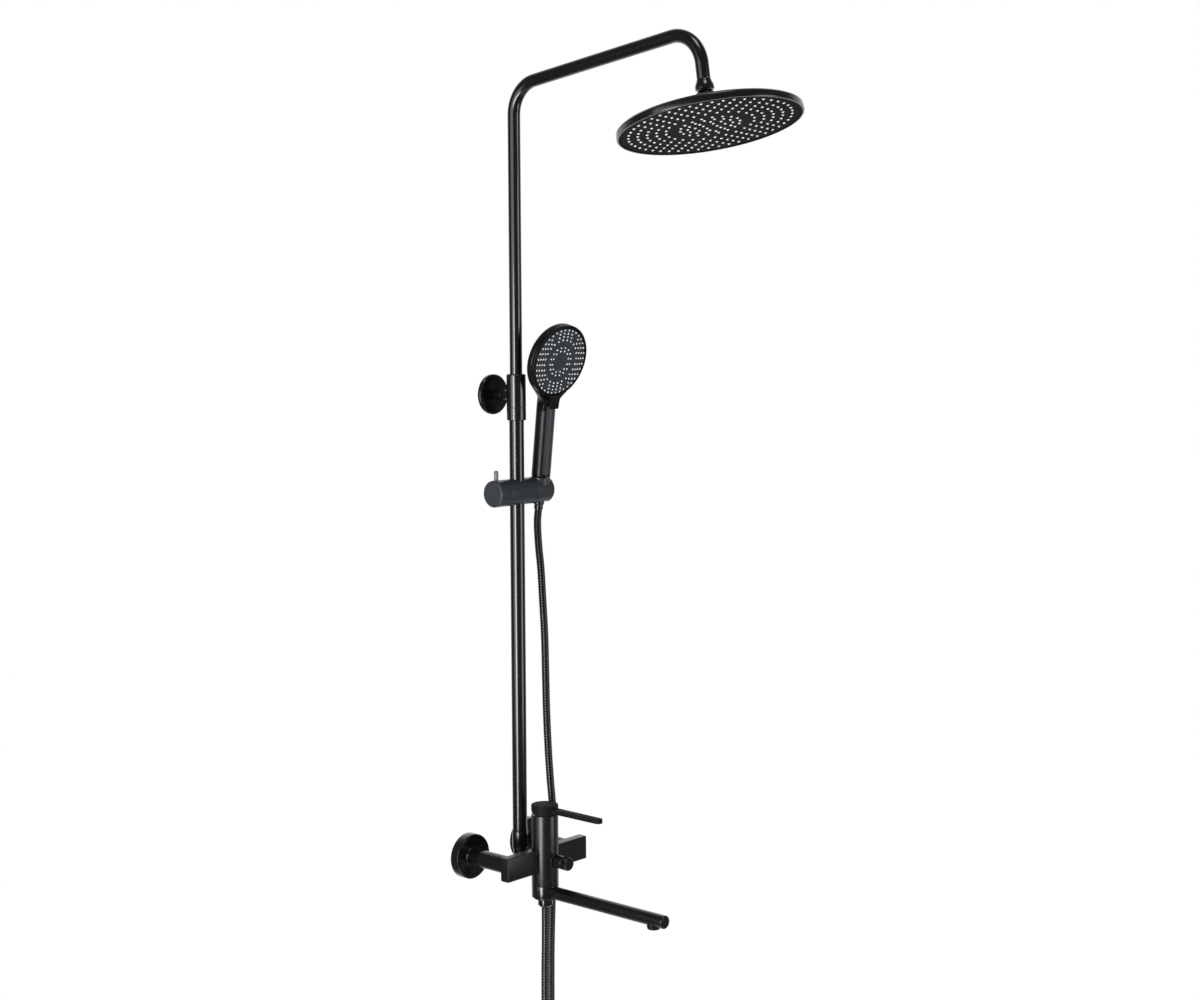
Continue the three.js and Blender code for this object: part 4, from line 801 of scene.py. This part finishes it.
def make_riser():
    corners = [Vector((0, -ELBOW_REACH, ELBOW_HEIGHT)), Vector((0, 0, ELBOW_HEIGHT)),
               Vector((0, 0, 9))]
    elbow = swept(bent_line(corners, 14, 16, 3), 12.5, RISER, 72, 0.4)
    body = rod(BODY + 0.3, -50, 50, MIXER, segments=160)
    combined(elbow, "DIFFERENCE", body)
    dress(elbow, "riser_bend", "riser_elbow", sharp=40)
    nut = lathe([
        (11.5, 9.3), (13.4, 9.3, 0.4), (14, 10, 0.4), (14, 39, 0.8), (13.4, 40, 0.3), (13.3, 40),
        (13.3, 12), (11.5, 12),
    ], RISER)
    dress(nut, "riser_foot_nut", "riser_nut")
    lower = lathe([
        (11.5, 12.3), (13, 12.3, 0.3), (13, 400), (13, TUBE_TOP, 0.3), (11.5, TUBE_TOP),
    ], RISER)
    dress(lower, "riser_lower_tube", "lower_riser")
    sleeve = lathe([
        (13.3, 775), (16, 775, 0.4), (17, 776, 0.6), (17, 796.6, 0.3), (16.6, 797, 0.2),
        (16.6, 797.6, 0.2), (17, 798, 0.3), (17, 854.4, 1.2), (15.5, 856, 0.6), (11.5, 856),
        (11.5, TUBE_TOP + 0.3), (13.3, TUBE_TOP + 0.3),
    ], RISER)
    screw_place = RISER @ at(0, 0, CLAMP_SCREW_HEIGHT) @ RIGHT
    hole = rod(2.5, 13.9, 18, screw_place, segments=32)
    combined(sleeve, "DIFFERENCE", hole)
    dress(sleeve, "riser_clamp_sleeve", "riser_clamp")
    screw = rod(2.2, 14.2, 16.6, screw_place, 0.3, 32)
    hexagon = lathe([(0, 15), (1.25, 15), (1.25, 18), (0, 18)], screw_place, 6)
    combined(screw, "DIFFERENCE", hexagon)
    dress(screw, "clamp_grub_screw", "clamp_screw", "column", STEEL)
    wall = at(0, 0, WALL_PLATE_HEIGHT)
    plate = lathe([(9.3, 0), (35.5, 0, 0.3), (35.5, 5.2, 1.6), (33.6, 7, 1.2), (9.3, 7, 0.3)],
                  wall @ FRONT, 128)
    dress(plate, "wall_flange", "wall_plate")
    post = lathe([
        (0, 0), (9, 0), (9, 28, 0.3), (8.6, 28.4, 0.2), (8.6, 29.1, 0.2), (9, 29.5, 0.3), (9, 47),
        (0, 47),
    ], wall @ FRONT)
    combined(post, "DIFFERENCE", rod(17.1, 780, 850, RISER, segments=128))
    dress(post, "bracket_arm", "bracket_post")


ARM_RISE = radians(8.4)
ARM_LENGTH = 410.7
ARM_HEIGHT = 1350.5
ARM_BEND_RADIUS = 56
ARM_RADIUS = 11
ARM_STOP = 28.3  # from the ball's centre up to the end of the tube
BALL_RADIUS = 11


def make_arm():
    ball = Vector(JOINT["head_swivel"]["pos_m"]) / MM
    foot = Vector(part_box("upper_riser")[0]) / MM
    axis_y = JOINT["arm_turn"]["pos_m"][1] / MM
    away = Vector((0, -cos(ARM_RISE), sin(ARM_RISE)))
    down = Vector((0, -sin(ARM_RISE), -cos(ARM_RISE)))
    inner = Vector((0, axis_y, ARM_HEIGHT))
    outer = inner + away * ARM_LENGTH
    corners = [Vector((0, axis_y, foot.z)), inner, outer, ball - down * ARM_STOP]
    arm = swept(bent_line(corners, ARM_BEND_RADIUS, 28, 10), ARM_RADIUS, Matrix(), 72, 0.5)
    dress(arm, "overhead_tube", "upper_riser", "arm", sharp=50)
    nut = lathe([
        (9.0, 28), (11.4, 28, 0.5), (12.6, 24, 4), (15, 18.5, 4), (15.5, 12.5, 1), (14.9, 11, 0.5),
        (12.2, 11), (9.0, 17),
    ], ARM_END, 128)
    dress(nut, "arm_end_nut", "ball_nut", "arm")
    curve = round_profile(BALL_RADIUS, range(-70, 55, 5))
    ball_piece = lathe([(3, curve[0][1]), *curve, (6.3, 12), (8.7, 16, 1), (8.7, 46), (3, 46)],
                       ARM_END)
    dress(ball_piece, "swivel_ball", "head_ball", "arm", STEEL)


# ---------------- overhead head
HEAD_FACE = -49.0  # height of the rim's lower edge below the ball's centre
FACE_LOW = HEAD_FACE + 1.7
HEAD_RIM = 13
HEAD_NOZZLE_RADIUS = 2.05
MAT_THICKNESS = 1.2
HEAD_RINGS = [(131, 48), (116, 42), (101, 36), (86, 30), (71, 24), (48, 18), (36, 14), (24, 8),
              (12, 4)]


def nozzle(place, low, high, radius, sides=10):
    """One silicone nozzle that points down, with a small outlet, as vertices and faces."""
    x, y = place
    tip = (x, y, low + 0.5)
    profile = [
        (0.34 * radius, low + 0.45), (0.4 * radius, low), (0.74 * radius, low),
        (0.88 * radius, low + 0.2), (radius, high - 0.35), (1.18 * radius, high),
        (1.18 * radius, high + 0.5),
    ]
    angles = [2 * pi * k / sides for k in range(sides)]
    vertices = [tip] + [(*polar(r, angle, x, y), z) for r, z in profile for angle in angles]
    faces = []
    for k in range(sides):
        n = (k + 1) % sides
        faces.append((0, 1 + n, 1 + k))
        for ring in range(len(profile) - 1):
            a, b = 1 + ring * sides, 1 + (ring + 1) * sides
            faces.append((a + k, a + n, b + n, b + k))
    top = 1 + (len(profile) - 1) * sides
    faces.append(tuple(range(top, top + sides)))
    return vertices, faces


def make_nozzles(name, places, low, high, radius, matrix, body, node, back, back_radius):
    """The nozzles that show in a face, and the mat behind it that carries them."""
    vertices, faces = [], []
    for place in places:
        more, sides = nozzle(place, low, high, radius)
        faces += [tuple(i + len(vertices) for i in face) for face in sides]
        vertices += more
    tips = solid(vertices, faces, matrix)
    dress(tips, name, node, body, SILICONE)
    mat = rod(back_radius, back, back + MAT_THICKNESS, matrix)
    dress(mat, f"{name}_mat", None, body, SILICONE)


def ring_places(rings):
    """Places on rings of (radius, count), each second ring turned by half a step."""
    places = []
    for i, (radius, count) in enumerate(rings):
        for k in range(count):
            places.append(polar(radius, 2 * pi * (k + 0.5 * (i % 2)) / count))
    return places


def make_head():
    rim = HEAD_FACE + HEAD_RIM
    back = lathe([
        (147, HEAD_FACE), (149.2, HEAD_FACE, 0.4), (150, HEAD_FACE + 1, 1), (150, rim - 3, 3),
        (146, rim + 0.6, 5), (108, rim + 4.2, 200), (63, rim + 9.3, 160), (26, rim + 14, 8),
        (16.5, rim + 18.5, 3), (16.5, -0.5, 0.3), (13.5, -0.5), (12.9, -4), (11, -7.8), (8, -10.9),
        (5, -13.5), (5, rim + 8), (24, rim + 10), (63, rim + 7.2), (108, rim + 2.2), (146, rim - 2),
        (147, FACE_LOW + 3.3),
    ], HEAD, 192)
    dress(back, "head_shell", "head_back", "head")
    lip = round_profile(BALL_RADIUS + 0.4, range(38, 5, -4))
    cap = lathe([
        (13.5, -0.2), (16.5, -0.2, 0.3), (16.5, 4.6, 0.8), (15.2, 6, 1), (12.5, 8.2, 0.8), *lip,
        (13.5, lip[-1][1]),
    ], HEAD)
    dress(cap, "swivel_cap", "ball_cap", "head")
    face = lathe([
        (0, FACE_LOW), (138.2, FACE_LOW, 1), (139.4, FACE_LOW + 0.7, 0.5),
        (142.8, FACE_LOW + 0.7, 0.6), (143.8, FACE_LOW, 0.5), (146.2, FACE_LOW, 0.5),
        (146.7, FACE_LOW + 0.6), (146.7, FACE_LOW + 3), (0, FACE_LOW + 3),
    ], HEAD, 192)
    dress(face, "head_face_plate", "head_face", "head", CHARCOAL)
    make_nozzles("head_nozzles", ring_places(HEAD_RINGS), FACE_LOW - 1.2, FACE_LOW,
                 HEAD_NOZZLE_RADIUS, HEAD, "head", "head_nozzle_mat", FACE_LOW + 3.3, 138)


# ---------------- slider
SLIDER_RADIUS = 23.5
SLIDER_EDGE = 22.9  # radius of the slider's chamfered ends
LOCK_END = -61.5  # the lock knob's end along the slider
LOCK_SCREW = 4.3  # radius of the locking screw's room


def make_slider():
    left, right = -38.75, 27.75
    barrel = lathe([
        (0, left), (SLIDER_EDGE, left, 0.2), (SLIDER_RADIUS, left + 0.6, 0.3), (SLIDER_RADIUS, -20),
        (SLIDER_RADIUS, 15), (SLIDER_RADIUS, right - 0.6, 0.3), (SLIDER_EDGE, right, 0.2),
        (7, right), (7, right + 10, 0.4), (0, right + 10),
    ], SLIDER @ RIGHT, 160)
    passage = rod(13.5, -30, 30, SLIDER, segments=128)
    inner = rod(16.2, -15.3, 15.3, SLIDER)
    screw = rod(LOCK_SCREW, left - 1, 0, SLIDER @ RIGHT, segments=48)
    combined(barrel, "DIFFERENCE", passage, inner, screw)
    dress(barrel, "slider_barrel", "slider_body", "slider", SLATE, sharp=30)
    end, seam = LOCK_END, -39.25
    pin_place = SLIDER @ at(end + 9.5, 0, 0)
    knob = lathe([
        (0, end), (20.4, end, 1.2), (22.5, end + 0.8, 1.2), (SLIDER_RADIUS, end + 2.6, 1.4),
        (SLIDER_RADIUS, seam - 0.6, 0.3), (SLIDER_EDGE, seam, 0.2), (0, seam),
    ], SLIDER @ RIGHT, 160)
    socket = rod(LOCK_SCREW, end + 9.5, seam + 1, SLIDER @ RIGHT, segments=48)
    pin_hole = rod(LOCK_SCREW, 18.5, 26, pin_place, segments=48)
    combined(knob, "DIFFERENCE", socket, pin_hole)
    dress(knob, "lock_knob", "slider_lock_knob", "slider_lock", SLATE, sharp=30)
    pin = lathe([
        (0, 18.8), (4, 18.8), (4, 38.2, 1.2), (3.2, 39.8, 1), (1.8, 40.5, 1), (0, 40.5),
    ], pin_place, 48)
    dress(pin, "lock_pin", "slider_lock_pin", "slider_lock", PIN_PAINTED_REFLECTION)


CONE_LOW, CONE_HIGH = -35, 23.7  # ends of the hose's cone nut along the hand shower's axis
CONE_THIN, CONE_WIDENS = 9, 3  # its radius at the lower end, and how much wider the upper one is


def cone_radius(height):
    return CONE_THIN + CONE_WIDENS * (height - CONE_LOW) / (CONE_HIGH - CONE_LOW)


def cone(extra, low, high):
    """The cone nut's form, wider all round by some clearance."""
    return lathe([
        (0, low), (cone_radius(low) + extra, low), (cone_radius(high) + extra, high), (0, high),
    ], HANDSET, 128)


def cradle_gate():
    """The slot through which the hose enters the holder."""
    return block((0, -8, -40), (30, 8, 40), HANDSET)


def make_holder():
    start, end = 28.25, 74
    barrel = lathe([
        (0, start), (SLIDER_EDGE, start, 0.2), (SLIDER_RADIUS, start + 0.6, 0.3),
        (SLIDER_RADIUS, end - 3, 2.4), (22.2, end - 0.8, 1.5), (20.4, end, 1), (0, end),
    ], SLIDER @ RIGHT, 160)
    axle = rod(7.5, start - 1, start + 10.5, SLIDER @ RIGHT, segments=64)
    cup = rod(17, -8, 23.5, HANDSET, 0.5, 128)
    combined(barrel, "UNION", cup)
    combined(barrel, "DIFFERENCE", cone(2.3, -40, 40), cradle_gate(), axle)
    dress(barrel, "handset_cradle", "handset_holder", "holder", SLATE, sharp=30)
    liner = cone(2.0, -22, 22)
    combined(liner, "DIFFERENCE", cone(0.4, -40, 40), cradle_gate())
    combined(liner, "INTERSECT", rod(SLIDER_RADIUS - 0.5, -100, 100, SLIDER @ RIGHT, segments=160))
    dress(liner, "cradle_liner", "holder_liner", "holder", RUBBER)


# ---------------- hand shower
HAND_RADIUS = 66
RING_THICKNESS = 5.7
FLUTES = 16
FLUTE_DEPTH = 0.5
HAND_NOZZLE_RADIUS = 1.4
REMESH_STEP = 0.0012
TAB_HALF_WIDTH = 19
RAY_HALF_WIDTH = 2.2  # the plain rays that break the hand shower's outer rows


def make_hand_nut():
    def flutes(angle, radius, height):
        if -24.5 < height < -14 and radius > 8:
            return radius - FLUTE_DEPTH * ridge(angle, FLUTES) ** 4
        return radius

    def on_cone(height, inset=0, fillet=0):
        return cone_radius(height) - inset, height, fillet

    nut = lathe([
        (0, CONE_LOW), (8.1, CONE_LOW, 0.6), (8.1, -27, 0.3), on_cone(-25.5, fillet=0.4),
        on_cone(-22), on_cone(-13.4), on_cone(-12.8, 0.35, 0.2), on_cone(-12.2, 0.35, 0.2),
        on_cone(-11.6), on_cone(23, fillet=0.3), on_cone(CONE_HIGH, 0.6), (7.3, CONE_HIGH),
        (7.3, 13), (0, 13),
    ], HANDSET, 128, flutes)
    dress(nut, "hose_cone_nut", "hose_nut_upper", "handset")


HANDLE_PROFILE = [
    (0, 24.2), (16.5, 24.2, 0.4), (17, 24.9, 0.4), (17, 150, 60), (16, 185, 12), (13.5, 196, 6),
    (0, 198),
]


def make_handset_shell():
    front = RING_THICKNESS + 0.3
    dome = lathe([
        (0, front), (HAND_RADIUS, front, 0.5), (HAND_RADIUS, front + 8, 3), (63.5, front + 13, 6),
        (52, 25, 18), (30, 29, 40), (0, 30),
    ], FACE, 160)
    handle = lathe(HANDLE_PROFILE, HANDSET, 128)
    sides = [(46, 47.3), (20, 72.4), (16.8, 79), (16, 92)]
    plan = sides + [(-x, y) for x, y in reversed(sides)]
    chin = rings_to_solid([[(x, y, z) for x, y in plan] for z in (0.8, 14)], FACE)
    combined(chin, "DIFFERENCE", rod(66.9, -60, front, FACE))
    front_room = rod(70, -60, front, FACE)
    tab_room = block((-10.5, 62, -60), (10.5, 91, -2.4), FACE)
    combined(handle, "DIFFERENCE", front_room, tab_room)
    combined(dome, "UNION", handle, chin)
    applied(dome, "REMESH", mode="VOXEL", voxel_size=REMESH_STEP, adaptivity=0.0)
    applied(dome, "SMOOTH", factor=0.5, iterations=6)
    stem = rod(7, 13.3, 25, HANDSET, segments=48)
    combined(dome, "UNION", stem)
    trim_room = block((-11.3, -30, 29.7), (11.3, -11.2, 152.3), HANDSET)
    combined(dome, "DIFFERENCE", trim_room)
    dress(dome, "handset_body", "handset_shell", "handset", PLASTIC, sharp=30)
    strip = lathe(HANDLE_PROFILE, HANDSET, 128)
    window = cushioned(lambda inset: rounded_rectangle(22, 122, 2.0, inset), 11.5, 30, 0.6,
                       HANDSET @ at(0, 0, 91) @ FRONT)
    combined(strip, "INTERSECT", window)
    dress(strip, "handset_strip", "handset_trim", "handset", GUNMETAL, sharp=30)


def make_selector():
    ring = lathe([
        (61, 0), (61.6, -0.1, 0.4), (65.2, 0, 0.8), (HAND_RADIUS, 1, 0.8),
        (HAND_RADIUS, RING_THICKNESS, 0.4), (61, RING_THICKNESS, 0.3),
    ], FACE, 192)
    outline = [
        (61.5, 5.2), (61.5, -3.6), (64, -7.3), (72.5, -9.3), (82, -11.2), (84, -10.6), (84.8, -8.9),
        (83.8, -7.1), (75.5, -4.9), (66.5, -2.9), (65.8, 5.2),
    ]

    def tab_outline(inset):
        """The tab's section, (outwards, into the shell), drawn in by the inset."""
        out = []
        for i, point in enumerate(outline):
            here = Vector(point)
            back = (here - Vector(outline[i - 1])).normalized()
            ahead = (Vector(outline[(i + 1) % len(outline)]) - here).normalized()
            normal = Vector(((back + ahead).y, -(back + ahead).x)).normalized()
            out.append(tuple(here - normal * inset))
        return out

    tab = cushioned(tab_outline, -TAB_HALF_WIDTH, TAB_HALF_WIDTH, 0.9, FACE @ SECTION)
    half_widths = [(60, 16), (63.5, 14), (66.5, 12), (70, 10.6), (74, 10), (80, 9.6), (86, 9)]
    plan = [(-x, y) for y, x in half_widths] + [(x, y) for y, x in reversed(half_widths)]
    flare = rings_to_solid([[(x, y, z) for x, y in reversed(plan)] for z in (-20, 12)], FACE)
    combined(tab, "INTERSECT", flare)
    combined(ring, "UNION", tab)
    groove = block((-6, 76, -14), (6, 77, -8.6), FACE)
    combined(ring, "DIFFERENCE", groove)
    dress(ring, "spray_selector", "selector_ring", "selector", PLASTIC, sharp=30)


def hand_places():
    """Four outer rows, broken by six plain rays, and a double ring round the plain middle."""
    places = []
    rows = ((57.5, 36), (51.5, 32), (45.5, 28), (39.5, 24), (25.5, 16), (19.5, 12))
    for radius, count in rows:
        for k in range(count):
            angle = 2 * pi * (k + 0.5) / count
            from_ray = radius * abs(sin(3 * angle)) / 3
            if radius < 30 or from_ray > RAY_HALF_WIDTH:
                places.append(polar(radius, angle))
    return places


def make_hand_face():
    face = lathe([
        (0, 0.9), (8.6, 0.9, 0.4), (9.4, 0, 0.4), (27.4, 0, 0.4), (28, 0.6, 0.3), (29.2, 0.6, 0.3),
        (29.8, 0, 0.3), (59.6, 0, 0.6), (60, 0.6), (60, 3), (0, 3),
    ], FACE, 192)
    dress(face, "handset_face_plate", "handset_face", "handset", GUNMETAL)
    make_nozzles("handset_nozzles", hand_places(), -1, 0.0, HAND_NOZZLE_RADIUS, FACE, "handset",
                 "handset_nozzle_mat", 3.3, 57)


for side in ("left", "right"):
    make_inlet(side)
make_mixer_body()
make_lever()
make_spout()
make_hose_outlet()
make_diverter()
make_riser()
make_arm()
make_head()
make_slider()
make_holder()
make_hand_nut()
make_handset_shell()
make_selector()
make_hand_face()

# ---------------- carried CAD nodes
SLOT_FINISH = {
    METAL: BLACK, PLASTICS: PLASTIC, TRIM: GUNMETAL,
    "pale_silicone": SILICONE, "raw_brass": BRASS, "white_nylon": NYLON, "black_rubber": RUBBER,
    "stainless_steel": STEEL, "hose_sleeve": HOSE_BLACK,
}
for node in frame["nodes"].values():
    for place in node.material_slots:
        place.material = SLOT_FINISH[place.material.name.split(".")[0]]

# ---------------- floor, light and backdrop
FLOOR_HEIGHT = -0.74  # clear of the hose's loop when the slider is down
FLOOR_HALF = 25.0
FLOOR_TONE = 0.85
FLOOR_REACH = (0.3, 1.0)  # the shaded part of the floor fades into plain white between these radii
ROOM_SIDE = (-0.75, -0.66, 0.0)  # the open side of the room, which a black surface mirrors darkly
ROOM_LEVEL = 0.10  # how bright a reflection of that side is, beside the white backdrop
ROOM_EDGES = (0.3, 0.95)  # the dark side fades into the white one between these cosines
WORLD_LIGHT = 0.35  # the world's strength where it lights the object and isn't seen
# Each lamp: name, place in metres, width and height in metres, and watts.
LAMPS = [
    ("key", (-3.1, -0.15, 0.7), (3.0, 2.8), 36),
    ("strip", (-1.66, -0.42, 0.17), (0.5, 1.7), 22),
    ("fill", (1.1, -3.1, 0.7), (1.4, 2.8), 30),
    ("top", (-0.6, -1.2, 3.6), (1.0, 1.0), 12),
]


def seen_directly(nodes):
    """1 for a ray from the camera, a reflection or a view through glass, and 0 for other light."""
    path = nodes.new("ShaderNodeLightPath")
    value = path.outputs["Is Camera Ray"]
    for ray in ("Is Glossy Ray", "Is Transmission Ray"):
        value = calculated("MAXIMUM", value, path.outputs[ray])
    return value


def reflected_level(nodes, links):
    """1, except for a reflection of the open side of the room, which is dimmer."""
    side = nodes.new("ShaderNodeVectorMath")
    side.operation = "DOT_PRODUCT"
    side.inputs[1].default_value = ROOM_SIDE
    links.new(nodes.new("ShaderNodeNewGeometry").outputs["Incoming"], side.inputs[0])
    level = ranged(side.outputs["Value"], ROOM_EDGES, (ROOM_LEVEL, 1.0), smooth=True)
    glossy = nodes.new("ShaderNodeLightPath").outputs["Is Glossy Ray"]
    reflection = ranged(glossy, (0.0, 1.0), (1.0, 1.0))
    links.new(level, reflection.node.inputs["To Max"])
    return reflection


def make_floor():
    """A pale floor that keeps the object's shadow under it and fades into the white background."""
    centre = middle(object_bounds())
    material = bpy.data.materials.new("pale_floor")
    material.use_nodes = True
    nodes, links = material.node_tree.nodes, material.node_tree.links
    shader = nodes["Principled BSDF"]
    shader.inputs["Base Color"].default_value = (FLOOR_TONE, FLOOR_TONE, FLOOR_TONE, 1)
    shader.inputs["Roughness"].default_value = 0.9
    shader.inputs["Specular IOR Level"].default_value = 0.1
    away = nodes.new("ShaderNodeVectorMath")
    away.operation = "LENGTH"
    links.new(nodes.new("ShaderNodeTexCoord").outputs["Object"], away.inputs[0])
    fade = ranged(away.outputs["Value"], FLOOR_REACH, (0.0, 1.0), smooth=True)
    share = calculated("MULTIPLY", fade, seen_directly(nodes))
    white = nodes.new("ShaderNodeEmission")
    white.inputs["Color"].default_value = (1, 1, 1, 1)
    links.new(reflected_level(nodes, links), white.inputs["Strength"])
    mix = nodes.new("ShaderNodeMixShader")
    links.new(share, mix.inputs[0])
    links.new(shader.outputs["BSDF"], mix.inputs[1])
    links.new(white.outputs["Emission"], mix.inputs[2])
    links.new(mix.outputs["Shader"], nodes["Material Output"].inputs["Surface"])
    mesh = bpy.data.meshes.new("floor")
    half = FLOOR_HALF
    mesh.from_pydata([(-half, -half, 0), (half, -half, 0), (half, half, 0), (-half, half, 0)], [],
                     [(0, 1, 2, 3)])
    mesh.materials.append(material)
    floor = added("floor", mesh)
    floor.location = (centre.x, centre.y, FLOOR_HEIGHT)
    floor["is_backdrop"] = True


def make_light():
    world = bpy.data.worlds.new("studio")
    bpy.context.scene.world = world
    world.use_nodes = True
    nodes, links = world.node_tree.nodes, world.node_tree.links
    background = nodes["Background"]
    background.inputs["Color"].default_value = (1, 1, 1, 1)
    level = ranged(seen_directly(nodes), (0.0, 1.0), (WORLD_LIGHT, 1.0))
    strength = calculated("MULTIPLY", level, reflected_level(nodes, links))
    links.new(strength, background.inputs["Strength"])
    aim = middle(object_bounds())
    for name, place, size, power in LAMPS:
        data = bpy.data.lights.new(name, "AREA")
        data.shape = "RECTANGLE"
        data.size, data.size_y = size
        data.energy = power
        light = added(name, data)
        light.location = place
        light.visible_camera = False
        height = aim.z if name == "top" else place[2]  # all but the top lamp stand upright
        towards = Vector((aim.x, aim.y, height)) - Vector(place)
        light.rotation_euler = towards.to_track_quat("-Z", "Y").to_euler()


make_floor()
make_light()
bpy.context.scene.view_settings.view_transform = "Standard"
